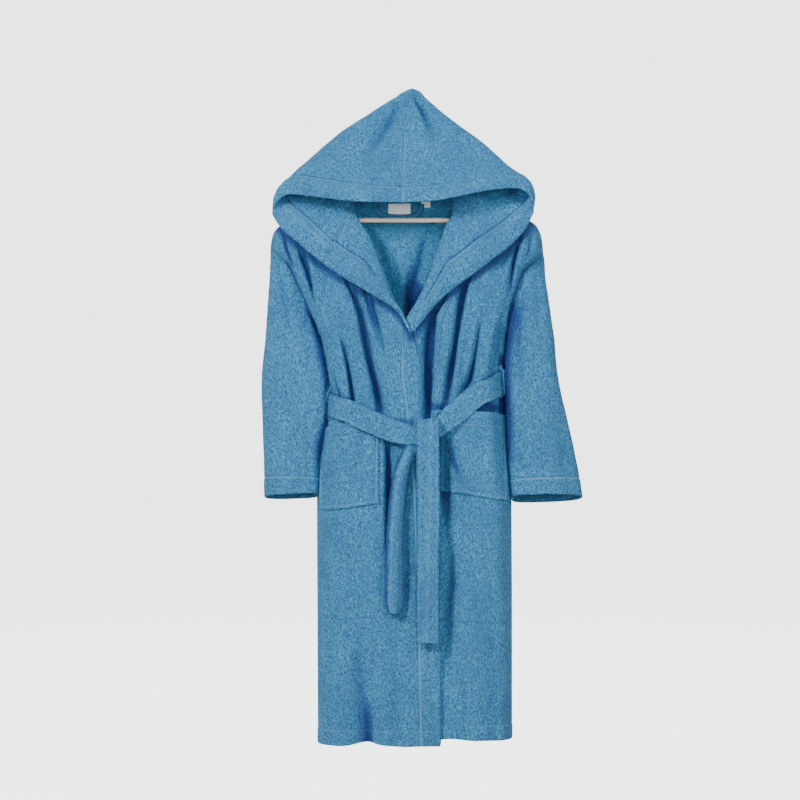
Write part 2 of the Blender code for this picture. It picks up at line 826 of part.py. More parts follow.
def hood_half(hand, back, front, turned):
    """One cloth from the centre seam, round the corner fold, to the neck seam."""
    sewn, neck_count = neck_seam(hand, back, front, turned)
    steps = np.linalg.norm(np.diff(sewn, axis=0), axis=1)
    along = np.concatenate([[0], np.cumsum(steps)]) / steps.sum()
    neck_part = along[neck_count - 1]
    fold = space_curve(HOOD_FOLDS[hand], along)
    seam = space_curve(HOOD_SEAM_FRONT, along)
    peak = mix(seam[0], fold[0], HOOD_BEFORE[:, None])
    free = space_curve(HOOD_EDGES[hand], HOOD_BEFORE)
    before = spread(peak, free, seam, fold, HOOD_BEFORE, along)
    swell = np.sin(math.pi * HOOD_BEFORE)[None] ** 0.7 * np.sin(math.pi * along * 0.6)[:, None]
    before[..., 1] -= 8.0 * swell
    seam_back = space_curve(HOOD_SEAM_BACK, HOOD_BEHIND)
    turned_edge = space_curve(HOOD_TURNED_EDGES[hand], HOOD_BEHIND)
    turned_edge[-1] = sewn[-1]
    turned_edge[:, 1] = np.minimum(turned_edge[:, 1], sewn[-1, 1] - 1.0 * (1 - HOOD_BEHIND))
    behind = spread(seam_back, turned_edge, fold, sewn, HOOD_BEHIND, along)
    arch = np.sin(math.pi * HOOD_BEHIND)[None] ** 0.7
    upper = ramp(along, 0, 0.1) * (1 - ramp(along, neck_part - 0.1, neck_part + 0.02))
    behind[..., 1] += 13.0 * arch * upper[:, None]
    lower = ramp(along, 0.45, 0.7) * (1 - ramp(along, 0.9, 1.0))
    tuck = np.exp(-(((HOOD_BEHIND - 0.10) / 0.10) ** 2)) * (HOOD_BEHIND > 0)
    behind[..., 1] += 9.0 * tuck[None] * lower[:, None]
    limit = panel_depth(behind[..., 0], behind[..., 2], hand, "front", False) - LAYER_STEP - 2.0
    shoulder = shoulder_height(behind[..., 0], hand)
    limit -= 6.5 * ramp(behind[..., 2], shoulder - 60, shoulder - 20)
    on_front = (along > neck_part + 0.001)[:, None] & (HOOD_BEHIND < 0.999)[None]
    behind[..., 1] = np.where(on_front, np.minimum(behind[..., 1], limit), behind[..., 1])
    grid = np.concatenate([before, behind[:, 1:]], axis=1)
    outside = np.array([hand_sign(hand) * 0.2, -1.0, 0.2])
    out = slopes_out(grid)
    if np.sum(out[:, :5] * outside) < 0:
        out = -out
    return {"grid": grid, "out": out, "around": False, "neck_count": neck_count}


# What lies on the fronts
def pocket(front, rows, columns, top_lift):
    """A patch made from the front's own points, moved out, fullest in its middle."""
    grid = front["grid"][rows, columns]
    out = front["out"][rows, columns]
    count_z, count_x = grid.shape[:2]
    up = np.linspace(0, 1, count_z)[:, None]
    side = np.linspace(0, 1, count_x)[None]
    full = np.sin(math.pi * side) ** 0.6 * np.sin(math.pi * np.minimum(up, 0.5)) ** 0.6
    lift = CLOTH + SEAM_GAP + POCKET_FULL * full + top_lift * up * np.sin(math.pi * side)
    return {"grid": grid + out * lift[..., None], "out": out.copy(), "around": False}


def body_ring(part, height):
    """A point of the smooth body at a share round it, from the knot to the right, back and left."""
    knot_x = 30.0
    if part <= 0.25:
        hand, face, share = "right", "front", part / 0.25
    elif part >= 0.75:
        hand, face, share = "left", "front", (1 - part) / 0.25
    else:
        hand, face, share = None, "back", (part - 0.25) / 0.5
    if hand:
        side = side_across(height, hand)
        across = side + (knot_x - side) * (1 - share) ** 1.5
        depth = panel_depth(across, height, hand, face, folded=False)
    else:
        right, left = side_across(height, "right"), side_across(height, "left")
        eased = 0.5 - 0.5 * math.cos(math.pi * share)
        across = right + (left - right) * eased
        hand = "right" if share < 0.5 else "left"
        depth = panel_depth(across, height, hand, face, folded=False)
    return np.array([float(across), float(depth), float(height)])


def body_frame(part):
    """Point, outward and upward direction of the belt's line at a share round the body."""
    step = 0.004
    height = float(follow(BELT_RUN, "height", part))
    before = body_ring(max(part - step, 0), float(follow(BELT_RUN, "height", max(part - step, 0))))
    after = body_ring(min(part + step, 1), float(follow(BELT_RUN, "height", min(part + step, 1))))
    way = after - before
    way /= np.linalg.norm(way)
    out = np.cross(np.array([0.0, 0.0, 1.0]), way)
    out /= np.linalg.norm(out)
    centre = np.array([0.0, -8.0, height])
    if np.dot(out, body_ring(part, height) - centre) < 0:
        out = -out
    up = np.cross(way, out)
    if up[2] < 0:
        up = -up
    return body_ring(part, height), out, up


def belt_stand(part):
    return float(follow(BELT_STAND, "gap", min(part, 1 - part)))


def belt_round():
    """From the knot's right side round the back to its left side."""
    parts = np.concatenate([
        np.linspace(0.045, 0.19, 8),
        np.linspace(0.205, 0.29, 7),
        np.linspace(0.34, 0.66, 9),
        np.linspace(0.71, 0.795, 7),
        np.linspace(0.81, 0.955, 8),
    ])
    knot_x, knot_y, knot_z = KNOT_CENTRE
    reach = KNOT_SIZE[0] / 2 + SEAM_GAP
    centres = [np.array([knot_x - reach, knot_y, knot_z - 3.0])]
    ups, outs, halves = [np.array([0.0, 0.0, 1.0])], [np.array([0.0, -1.0, 0.0])], [14.0]
    for part in parts:
        point, out, up = body_frame(part)
        centres.append(point + out * (CLOTH / 2 + belt_stand(part) + BELT_THICK / 2))
        ups.append(up)
        outs.append(out)
        halves.append(BELT_WIDTH / 2)
    centres.append(np.array([knot_x + reach, knot_y, knot_z + 8.0]))
    ups.append(np.array([0.0, 0.0, 1.0]))
    outs.append(np.array([0.0, -1.0, 0.0]))
    halves.append(14.0)
    sweep("belt_round", centres, ups, outs, halves, BELT_THICK / 2, TERRY)


def belt_loop(name, part):
    """A narrow strip that stands off the side seam and holds the belt."""
    point, out, up = body_frame(part)
    seat = CLOTH / 2 + 4 * SEAM_GAP + LOOP_THICK / 2
    over = CLOTH / 2 + belt_stand(part) + BELT_THICK + 3 * SEAM_GAP + LOOP_THICK / 2
    half = BELT_WIDTH / 2
    route = [(half + 11, seat), (half + 6, seat), (half + 3, over), (0, over)]
    route += [(-half - 2, over), (-half - 4.5, seat), (-half - 6, seat)]
    centres, outs, widths = [], [], []
    along = np.cross(up, out)
    for i, (w, n) in enumerate(route):
        height = point[2] + w * up[2]
        base = body_ring(part, height) if abs(w) > half + 4 else point + up * w
        centres.append(base + out * n)
        widths.append(along)
    centres = np.array(centres)
    ways = np.gradient(centres, axis=0)
    for way in ways:
        normal = np.cross(way, along)
        normal /= np.linalg.norm(normal)
        outs.append(normal if np.dot(normal, out) > 0 else -normal)
    sweep(name, centres, widths, outs, 5.0, LOOP_THICK / 2, TERRY)


def belt_knot():
    """A rounded lump: rings squeezed from a box, narrower at top and bottom."""
    rows = table(
        "height width depth",
        (-1.00, 0.72, 0.55),
        (-0.80, 0.92, 0.85),
        (-0.30, 1.00, 1.00),
        (0.30, 1.00, 1.00),
        (0.80, 0.94, 0.85),
        (1.00, 0.74, 0.50),
    )
    sides = 16
    points = []
    for height, width, depth in zip(*rows.values()):
        for j in range(sides):
            angle = 2 * math.pi * j / sides
            cosine, sine = math.cos(angle), math.sin(angle)
            x = math.copysign(abs(cosine) ** 0.6, cosine) * width * KNOT_SIZE[0] / 2
            y = math.copysign(abs(sine) ** 0.6, sine) * depth * KNOT_SIZE[1] / 2
            points.append(np.array(KNOT_CENTRE) + np.array([x, y, height * KNOT_SIZE[2] / 2]))
    faces = []
    for i in range(len(rows["height"]) - 1):
        for j in range(sides):
            k = (j + 1) % sides
            faces.append([i * sides + j, i * sides + k, (i + 1) * sides + k, (i + 1) * sides + j])
    last = (len(rows["height"]) - 1) * sides
    faces.append(list(range(sides))[::-1])
    faces.append([last + j for j in range(sides)])
    points = np.array(points)
    if solid_volume(points, faces) < 0:
        faces = [face[::-1] for face in faces]
    add_mesh("belt_knot", points, faces, TERRY)


FRONT_TAIL = table(
    "height across depth turn",
    (-1039, 29.5, -85, 4),
    (-960, 29, -86, 0),
    (-860, 29, -87, -4),
    (-780, 30, -87, 0),
    (-720, 31, -87, 2),
    (-684, 31, -86, 0),
    (-677.4, 31, -84, 0),
)
BACK_TAIL = table(
    "height across depth turn",
    (-984, -32, -72, 12),
    (-900, -31, -74, 20),
    (-820, -28, -75, 26),
    (-760, -24, -76, 22),
    (-710, -15, -76, 12),
    (-690, -6, -76, 6),
    (-677.4, 2, -76.6, 2),
)


def belt_tail(name, rows, width, thick):
    """A hanging end of the belt, a little twisted."""
    centres, widths, outs = [], [], []
    for height, across, depth, turn in zip(*rows.values()):
        angle = math.radians(turn)
        centres.append(np.array([across, depth, height]))
        widths.append(np.array([math.cos(angle), math.sin(angle), 0.0]))
        outs.append(np.array([math.sin(angle), -math.cos(angle), 0.0]))
    sweep(name, centres, widths, outs, width / 2, thick / 2, TERRY)


# Inside the neck
def neck_pieces(back):
    """Blank label, blank size tag and hanging loop, under the back neck seam."""
    seam_z = NECK_LOW[2]
    flat_plate("neck_label", back, -25.0, LABEL_SIZE, seam_z - 1.5, LABEL_THICK)
    flat_plate("size_tag", back, 27.0, TAG_SIZE, seam_z - 0.5, LABEL_THICK)
    rows = table(
        "across drop",
        (-68, -9),
        (-66, -14),
        (-62, -21),
        (-54, -27),
        (-40, -30),
        (-20, -30.5),
        (0, -29),
        (8, -26),
        (14, -20),
        (17, -12),
        (18, -7),
    )
    route = np.stack([rows["across"], rows["drop"]], axis=-1)
    ways = np.gradient(route, axis=0)
    ways /= np.linalg.norm(ways, axis=1, keepdims=True)
    centres, widths, outs = [], [], []
    for (across, drop), way in zip(route, ways):
        height = seam_z + drop
        stand = 2 * SEAM_GAP + LABEL_THICK + LOOP_THICK / 2 + 0.5
        centres.append(np.array([across, inner_face(back, across, height) - stand, height]))
        widths.append(np.array([-way[1], 0.0, way[0]]))
        outs.append(np.array([0.0, -1.0, 0.0]))
    sweep("hanging_loop", centres, widths, outs, 4.0, LOOP_THICK / 2, TERRY)


def inner_face(piece, across, height):
    """Y of a panel's inner face at a place in the front view."""
    grid = piece["grid"]
    reach = np.hypot(grid[..., 0] - across, grid[..., 2] - height)
    weights = 1 / (reach + 2.0) ** 4
    return float(np.sum(grid[..., 1] * weights) / np.sum(weights)) - CLOTH / 2


def flat_plate(name, piece, middle_x, size, top, thick):
    """A small label that hangs on a panel's inner face."""
    centres, widths, outs = [], [], []
    width, length = size
    for height in np.linspace(top - length, top, 4):
        faces = [inner_face(piece, middle_x + side * width / 2, height) for side in (-1, 0, 1)]
        centres.append(np.array([middle_x, min(faces) - 2 * SEAM_GAP - thick / 2, height]))
        widths.append(np.array([1.0, 0.0, 0.0]))
        outs.append(np.array([0.0, -1.0, 0.0]))
    sweep(name, centres, widths, outs, width / 2, thick / 2, WHITE)


# Hanger
def hanger():
    centre = np.array([0.0, 0.0, WIRE_RADIUS - HOOK_RADIUS])
    route = []
    for degrees in range(205, -61, -16):
        angle = math.radians(degrees)
        route.append(centre + HOOK_RADIUS * np.array([math.cos(angle), 0, math.sin(angle)]))
    route += [np.array([3.5, 0, -37.5]), np.array([0.5, 0, -43.5]), np.array([0, 0, -50.0])]
    route += [np.array([0, 0, -80.0]), np.array([0, 0, ARM_CENTRE_HEIGHT + ARM_RADIUS + 8.3])]
    tube("hanger_hook", route, [WIRE_RADIUS] * len(route), 10, STEEL, 0.3, 1.0)
    reaches = np.linspace(-ARM_REACH, ARM_REACH, 25)
    arms = [np.array([x, 0.0, arm_height(abs(x))]) for x in reaches]
    radii = [ARM_RADIUS * (0.7 if abs(x) > ARM_REACH - 1 else 1.0) for x in reaches]
    radii[len(radii) // 2] = ARM_RADIUS + 2.0
    tube("hanger_arms", arms, radii, 14, CREAM, 0.45)
    arm_top = ARM_CENTRE_HEIGHT + ARM_RADIUS
    neck = [np.array([0, 0, arm_top + 2.3]), np.array([0, 0, arm_top + 8.0])]
    tube("hanger_ferrule", neck, [NECK_FERRULE_RADIUS] * 2, 14, STEEL, 0.35, 1.0)
    ends = ARM_REACH - BAR_INSET
    bar = [np.array([x, 0.0, BAR_HEIGHT]) for x in (-ends, -ends / 2, 0.0, ends / 2, ends)]
    tube("hanger_bar", bar, [BAR_RADIUS] * 5, 14, CREAM, 0.45)


def main():
    for thing in list(bpy.data.objects):
        bpy.data.objects.remove(thing, do_unlink=True)
    hanger()
    fronts = {hand: front_panel(hand) for hand in ("right", "left")}
    back = back_panel()
    lapels = {hand: lapel(hand, fronts[hand]) for hand in fronts}
    sleeves = {hand: sleeve(hand, fronts[hand], back) for hand in fronts}
    hoods = {hand: hood_half(hand, back, fronts[hand], lapels[hand]) for hand in fronts}
    pockets = {
        "right": pocket(fronts["right"], slice(6, 10), slice(1, 8), 1.5),
        "left": pocket(fronts["left"], slice(6, 11), slice(1, 9), 3.0),
    }
    sew_all(fronts, back, lapels, sleeves, hoods)
    for hand, piece in fronts.items():
        add_wall("front_" + hand, piece)
        add_wall("lapel_" + hand, lapels[hand])
        add_wall("sleeve_" + hand, sleeves[hand])
        add_wall("hood_" + hand, hoods[hand])
        add_wall("pocket_" + hand, pockets[hand])
    add_wall("back", back)
    belt_round()
    belt_loop("belt_loop_right", 0.202)
    belt_loop("belt_loop_left", 0.800)
    belt_knot()
    belt_tail("belt_tail_front", FRONT_TAIL, TAIL_WIDTH, TAIL_THICK)
    belt_tail("belt_tail_back", BACK_TAIL, TAIL_WIDTH * 0.8, TAIL_THICK)
    neck_pieces(back)


def sew_all(fronts, back, lapels, sleeves, hoods):
    """Shared edge directions first, then the seams' gaps."""
    low = slice(0, ARMHOLE_ROW + 1)
    high = slice(ARMHOLE_ROW, len(PANEL_ROWS))
    width = len(FRONT_SHARES)
    every = slice(None)
    sew(hoods["right"], (every, 0), hoods["left"], (every, 0))
    sew(hoods["right"], (0, every), hoods["left"], (0, every))
    for hand, front in fronts.items():
        right = hand == "right"
        side, beside = (0, 1) if right else (-1, -2)
        shoulder = slice(0, width) if right else slice(-1, -width - 1, -1)
        hood, turned, ring = hoods[hand], lapels[hand], sleeves[hand]
        sew(front, (low, 0), back, (low, side))
        sew(front, (-1, every), back, (-1, shoulder))
        front["out"][-1, -1] = np.array([0.0, 0.0, 1.0])
        back["out"][-1, shoulder][-1] = np.array([0.0, 0.0, 1.0])
        droop = slice(0, 3) if right else slice(-1, -4, -1)
        front["grid"][-1, :3, 1] -= SEAM_INSET
        back["grid"][-1, droop, 1] += SEAM_INSET
        sew(hood, (slice(hood["neck_count"] + 2, None), -1), turned, (-1, every), turned_over=True)
        join_neck(hood, back, hand)
        half = ring["grid"].shape[1] // 2
        ring["out"][0, : half + 1] = front["out"][high, 0][::-1]
        ring["out"][0, half:] = back["out"][high, side][:-1]
        ring["grid"][0, half, 0] += hand_sign(hand) * (CLOTH + SEAM_GAP)
        ring["out"][0, half] = np.array([0.0, 0.0, -1.0])
        draw_back(ring, (0,), (1,), SEAM_GAP * 9)
        draw_back(front, (every, 0), (every, 1))
        draw_back(back, (every, side), (every, beside))
        draw_back(front, (-1, every), (-2, every))
        draw_back(turned, (-1, every), (-2, every))
        draw_back(hood, (every, -1), (every, -2), SEAM_GAP * 2.6)
        draw_back(hood, (every, 0), (every, 1))
        draw_back(hood, (0, every), (1, every))
    draw_back(back, (-1, every), (-2, every))


def join_neck(hood, back, hand):
    """The hood's first edge points stand on the back's neck edge."""
    middle = back["neck"].start + NECK_STEPS
    step = -1 if hand == "right" else 1
    hood["out"][0, -1] = back["out"][-1, middle]
    for k in range(1, NECK_STEPS):
        sew(hood, (k + 1, -1), back, (-1, middle + step * k))
    hood["out"][1, -1] = mix(hood["out"][0, -1], hood["out"][2, -1], 0.3)


main()
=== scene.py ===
import math

import bpy
import numpy as np
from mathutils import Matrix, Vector
from mathutils.bvhtree import BVHTree


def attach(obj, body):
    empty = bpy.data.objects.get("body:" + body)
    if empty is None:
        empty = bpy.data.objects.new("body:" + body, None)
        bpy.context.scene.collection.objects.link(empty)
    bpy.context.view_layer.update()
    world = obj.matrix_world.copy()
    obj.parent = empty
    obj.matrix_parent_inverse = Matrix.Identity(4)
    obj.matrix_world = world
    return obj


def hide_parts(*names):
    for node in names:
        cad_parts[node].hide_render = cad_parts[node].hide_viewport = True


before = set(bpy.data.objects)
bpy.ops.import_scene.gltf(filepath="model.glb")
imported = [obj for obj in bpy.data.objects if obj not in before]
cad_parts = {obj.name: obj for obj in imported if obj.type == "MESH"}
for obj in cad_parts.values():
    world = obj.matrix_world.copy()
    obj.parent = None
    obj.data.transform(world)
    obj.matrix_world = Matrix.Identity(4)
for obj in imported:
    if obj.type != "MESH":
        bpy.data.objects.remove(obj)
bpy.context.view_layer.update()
print("frame loaded")

millimetre = 0.001
body = "root"
hands = ("right", "left")  # the wearer's; the right one is at the viewer's left
cloth = 3.0  # wall of the CAD model
clothThick = 3.4  # wall drawn here, with its nap

# hanger arms, measured from the crest of the hook
armCentreHeight = -116.0
armSlope = 0.45
armDroop = 0.00075
armRadius = 5.0
armReach = 200.0
restGap = 1.8


def table(names, *rows):
    return dict(zip(names.split(), np.array(rows, float).T))


def hermite(low, high, slopeLow, slopeHigh, span, part):
    # smooth step from low to high that keeps the slope at each end
    return (
        low * (1 + 2 * part) * (1 - part) ** 2
        + slopeLow * span * part * (1 - part) ** 2
        + high * part**2 * (3 - 2 * part)
        - slopeHigh * span * part**2 * (1 - part)
    )


def follow(rows, name, at):
    # reads a column of a table between its rows, without overshoot
    keys = rows[next(iter(rows))]
    values = rows[name]
    slopes = np.diff(values) / np.diff(keys)
    tangents = np.zeros_like(values)
    sameWay = slopes[:-1] * slopes[1:] > 0
    sums = np.where(sameWay, slopes[:-1] + slopes[1:], 1.0)
    tangents[1:-1] = np.where(sameWay, 2 * slopes[:-1] * slopes[1:] / sums, 0.0)
    tangents[0], tangents[-1] = slopes[0], slopes[-1]
    at = np.clip(np.asarray(at, float), keys[0], keys[-1])
    spot = np.clip(np.searchsorted(keys, at, side="right") - 1, 0, len(keys) - 2)
    span = keys[spot + 1] - keys[spot]
    part = (at - keys[spot]) / span
    return hermite(values[spot], values[spot + 1], tangents[spot], tangents[spot + 1], span, part)


def mix(low, high, share):
    return low + (high - low) * share


def ramp(value, start, end):
    share = np.clip((value - start) / (end - start), 0.0, 1.0)
    return share * share * (3 - 2 * share)


def dome(share, squareness):
    inside = np.clip(share, 0.0, 1.0)
    return (1 - (1 - inside) ** squareness) ** (1 / squareness)


# part runs from 0 at the hem to 1 at the shoulder tip; the armhole starts at armholePart.
armholePart = 0.78

sides = {
    "right": table(
        "part across height",
        (0.00, -179, -1236),
        (0.24, -180, -1000),
        (0.47, -181, -771),
        (0.54, -180, -701),
        (0.60, -176, -640),
        (0.65, -173, -590),
        (0.70, -172, -540),
        (0.78, -177, -458),
        (0.85, -200, -401),
        (0.90, -219, -359),
        (0.95, -238, -318),
        (1.00, -270, -293),
    ),
    "left": table(
        "part across height",
        (0.00, 191, -1227),
        (0.24, 191, -1000),
        (0.47, 190, -771),
        (0.54, 186, -701),
        (0.60, 182, -640),
        (0.65, 181, -590),
        (0.70, 180, -540),
        (0.78, 181, -452),
        (0.85, 186, -410),
        (0.90, 198, -372),
        (0.95, 214, -332),
        (1.00, 251, -302),
    ),
}

# Front edge from hem to V, then the roll line of the lapel up to the neck point
frontEdges = {
    "right": table(
        "part across height",
        (0.00, 53, -1236),
        (0.20, 50, -1039),
        (0.47, 43, -771),
        (0.62, 32, -616),
        (0.70, 19, -536),
        (0.76, 2, -470),
        (0.80, -10, -439),
        (0.86, -41, -380),
        (0.90, -59, -333),
        (0.94, -82, -276),
        (0.98, -114, -207),
        (1.00, -107, -163),
    ),
    "left": table(
        "part across height",
        (0.00, -40, -1224),
        (0.24, -35, -1000),
        (0.47, -28, -771),
        (0.62, -22, -616),
        (0.70, -17, -536),
        (0.80, -10, -435),
        (0.84, 13, -393),
        (0.88, 36, -344),
        (0.92, 52, -296),
        (0.95, 67, -251),
        (0.98, 80, -217),
        (1.00, 73, -143),
    ),
}

# Free edge of each lapel, from the V up to the neck seam
lapelEdges = {
    "right": table(
        "part across height",
        (0.0, -2, -455),
        (0.2, -22, -416),
        (0.5, -78, -378),
        (0.8, -128, -348),
        (1.0, -166, -322),
    ),
    "left": table(
        "part across height",
        (0.0, 2, -452),
        (0.2, 30, -414),
        (0.5, 66, -378),
        (0.8, 112, -343),
        (1.0, 150, -314),
    ),
}

# Depths at each height: side seam, front and back faces, and how wide the sides round off
torso = table(
    "height seam front back rightTurn leftTurn squareness",
    (-1236, 4, -62, 36, 52, 52, 2.0),
    (-1000, 6, -60, 36, 50, 50, 2.0),
    (-771, 12, -57, 34, 46, 44, 1.9),
    (-701, 18, -54, 33, 40, 36, 1.6),
    (-640, 22, -50, 32, 42, 38, 1.4),
    (-590, 23, -47, 31, 46, 44, 1.35),
    (-540, 21, -47, 30, 40, 44, 1.4),
    (-458, 13, -49, 27, 34, 34, 1.6),
    (-400, 8, -47, 25, 40, 40, 2.0),
    (-350, 4, -43, 23, 44, 44, 2.0),
    (-300, 0, -37, 20, 46, 46, 2.0),
    (-250, 0, -30, 18, 46, 46, 2.0),
    (-207, 0, -24, 16, 40, 40, 2.0),
    (-143, 0, -18, 14, 30, 30, 2.0),
)

# How far the armhole stands open at its edge, towards the front and the back
armholeOpen = table(
    "part front back",
    (0.78, 0, 0),
    (0.82, -14, 4),
    (0.88, -22, 8),
    (0.94, -17, 10),
    (0.98, -11, 8),
    (0.99, -8, 7),
    (0.996, -5, 5),
    (1.00, 0, 0),
)

# Shoulder beyond the end of the hanger arm
shoulderDroop = {
    "right": table(
        "reach height",
        (200, -227),
        (225, -237),
        (250, -247),
        (262, -258),
        (268, -275),
        (270, -293),
    ),
    "left": table(
        "reach height",
        (200, -227),
        (218, -236),
        (234, -245),
        (244, -260),
        (249, -280),
        (251, -302),
    ),
}

# Sleeve sections below the armhole: outer and inner edge, half depth, drop of the back edge
sleeves = {
    "right": table(
        "outerX outerZ innerX innerZ middleY halfDepth tilt",
        (-273, -352, -183, -486, 0, 31, 0),
        (-280, -445, -180, -525, -1, 35, 0),
        (-285, -520, -179, -570, -2, 36, 0),
        (-286, -600, -180, -625, -3, 36, 2),
        (-284, -680, -184, -690, -4, 35, 6),
        (-281, -760, -189, -756, -4, 33, 12),
    ),
    "left": table(
        "outerX outerZ innerX innerZ middleY halfDepth tilt",
        (256, -360, 189, -482, 0, 31, 0),
        (268, -443, 188, -522, -1, 35, 0),
        (278, -522, 189.5, -566, -2, 37, 0),
        (293, -600, 190, -620, -3, 38, 3),
        (309, -674, 194, -686, -4, 38, 8),
        (326, -757, 202, -760, -4, 36, 18),
    ),
}

# Back neck edge, from the neck point round behind the hanger arm to the middle of the back
neckLow = (-17.0, 13.0, -207.0)
backNeck = table(
    "part depth drop",
    (0.00, 0.0, 0.00),
    (0.06, 7.6, 0.06),
    (0.15, 11.6, 0.22),
    (0.36, 12.6, 0.54),
    (0.68, 13.0, 0.88),
    (1.00, 13.0, 1.00),
)

# Hood: centre seam down the front, and down the back
hoodSeamFront = table(
    "part across depth height",
    (0.00, 0, -7, 11.5),
    (0.10, -8, -14, -18),
    (0.35, -14, -34, -82),
    (0.60, -16, -55, -135),
    (0.80, -17, -71, -174),
    (1.00, -17, -84, -207),
)
hoodSeamBack = table(
    "part across depth height",
    (0.00, 0, 0, 15.5),
    (0.06, 0, 6, 12.0),
    (0.18, -6, 14, -20),
    (0.50, -13, 21, -110),
    (0.80, -17, 18, -170),
    (1.00, -17, 13, -207),
)

# Fold that runs from the peak down to each corner of the hood
hoodFolds = {
    "right": table(
        "part across depth height",
        (0.00, 0, 0, 15.5),
        (0.04, -13, 0, 11.5),
        (0.10, -31, 0, -3),
        (0.38, -124, -7, -65),
        (0.55, -169, -14, -103),
        (0.68, -205, -22, -135),
        (0.80, -231, -30, -160),
        (0.89, -252, -36, -186),
        (0.95, -262, -41, -203),
        (1.00, -266, -43, -226),
    ),
    "left": table(
        "part across depth height",
        (0.00, 0, 0, 15.5),
        (0.04, 14, 0, 10.0),
        (0.10, 28, 0, -8),
        (0.33, 93, -5, -64),
        (0.60, 165, -15, -129),
        (0.74, 196, -24, -163),
        (0.86, 221, -33, -186),
        (0.94, 231, -39, -203),
        (1.00, 230, -43, -226),
    ),
}

# Free edge of the hood across the front, from the centre seam round to the corner
hoodEdges = {
    "right": table(
        "part across depth height",
        (0.00, -17, -84, -207),
        (0.22, -70, -83, -207),
        (0.45, -124, -78, -204),
        (0.65, -180, -69, -196),
        (0.82, -232, -58, -190),
        (0.92, -257, -50, -205),
        (1.00, -266, -43, -226),
    ),
    "left": table(
        "part across depth height",
        (0.00, -17, -84, -207),
        (0.25, 40, -83, -205),
        (0.50, 98, -77, -194),
        (0.70, 152, -68, -183),
        (0.83, 198, -58, -178),
        (0.92, 224, -50, -196),
        (1.00, 230, -43, -226),
    ),
}

# Free edge of the hood from its corner back to the neck seam on the lapel
hoodTurnedEdges = {
    "right": table(
        "part across depth height",
        (0.0, -266, -43, -226),
        (0.2, -254, -42, -246),
        (0.6, -212, -40, -284),
        (1.0, -166, 0, -322),
    ),
    "left": table(
        "part across depth height",
        (0.0, 230, -43, -226),
        (0.2, 218, -42, -250),
        (0.6, 186, -40, -286),
        (1.0, 150, 0, -314),
    ),
}

beltRun = table(
    "part height",
    (0.00, -651),
    (0.04, -645),
    (0.10, -622),
    (0.17, -596),
    (0.25, -584),
    (0.50, -568),
    (0.75, -545),
    (0.80, -548),
    (0.88, -572),
    (0.95, -612),
    (1.00, -634),
)

# Gap between the body and the belt: over the pockets and at the knot it stands further off
beltStand = table(
    "fromKnot gap",
    (0.000, 20.0),
    (0.045, 18.0),
    (0.090, 15.0),
    (0.140, 14.0),
    (0.172, 9.0),
    (0.196, 2.0),
    (0.230, 1.2),
    (0.500, 1.4),
)


def handSign(hand):
    return -1.0 if hand == "right" else 1.0


def armHeight(reach):
    return armCentreHeight - armSlope * reach - armDroop * reach**2


def shoulderHeight(across, hand):
    reach = np.abs(across)
    slope = armSlope + 2 * armDroop * reach
    lift = (armRadius + restGap + cloth / 2) * np.sqrt(1 + slope**2)
    onArm = armHeight(reach) + lift
    pastArm = follow(shoulderDroop[hand], "height", reach)
    share = ramp(reach, armReach - 12, armReach + 12)
    return mix(onArm, pastArm, share)


def sideAcross(height, hand):
    side = sides[hand]
    return np.interp(height, side["height"], side["across"])


def fold(*rows, crisp=0):
    # across, height, half width and depth along one fold; crisp names its sharp side, -1 left or 1 right
    return {**table("across height width depth", *rows), "crisp": crisp}


def foldDepth(folds, across, height, side):
    # a soft fold is deepest on its line with low ridges beside it; a crisp one drops off a lip on one side
    total = np.zeros(np.shape(across))
    for rows in folds:
        best = np.full(np.shape(across), 1e9)
        press = np.zeros(np.shape(across))
        columns = [rows[name] for name in ("across", "height", "width", "depth")]
        for k in range(len(columns[0]) - 1):
            (x0, x1), (z0, z1), (w0, w1), (d0, d1) = [c[k : k + 2] for c in columns]
            length = math.hypot(x1 - x0, z1 - z0)
            share = ((across - x0) * (x1 - x0) + (height - z0) * (z1 - z0)) / length**2
            share = np.clip(share, 0, 1)
            off = np.hypot(across - mix(x0, x1, share), height - mix(z0, z1, share))
            width = mix(w0, w1, share)
            if rows["crisp"]:
                aside = rows["crisp"] * off * np.sign(across - mix(x0, x1, share))
                shape = ramp(aside, -1.9 * width, -0.45 * width) * (1 - ramp(aside, 0.6 * width, 0.6 * width + 3.5))
                shape = shape - 0.22 * groove(aside - 0.6 * width - 6.5, 4.5)
                shape = shape - 0.16 * groove(aside + 2.9 * width, width)
            else:
                shape = 1.25 * groove(off, width) - 0.3 * groove(off, 2.1 * width)
            trough = mix(d0, d1, share) * shape
            nearer = off / width < best
            best = np.where(nearer, off / width, best)
            press = np.where(nearer, trough, press)
        total = total + press
    return total * side


def latticeValue(i, j, k, seed):
    # a fixed number from 0 to 1 for each lattice corner
    mask = np.int64(0xFFFFFFFF)
    h = (i * 73856093) ^ (j * 19349663) ^ (k * 83492791) ^ (seed * 2654435761 & 0xFFFFFFFF)
    h = (h ^ (h >> 13)) & mask
    h = (h * 1274126177) & mask
    h = (h ^ (h >> 16)) & mask
    return h / float(0xFFFFFFFF)


def lumps(points, cell, seed):
    # smooth noise from -1 to 1 with features about as wide as cell
    spot = points / np.asarray(cell, float) + 1000.0
    corner = np.floor(spot).astype(np.int64)
    part = spot - corner
    part = part * part * (3 - 2 * part)
    total = 0.0
    for di in (0, 1):
        for dj in (0, 1):
            for dk in (0, 1):
                weight = (
                    (part[..., 0] if di else 1 - part[..., 0])
                    * (part[..., 1] if dj else 1 - part[..., 1])
                    * (part[..., 2] if dk else 1 - part[..., 2])
                )
                value = latticeValue(corner[..., 0] + di, corner[..., 1] + dj, corner[..., 2] + dk, seed)
                total = total + weight * value
    return 2 * total - 1


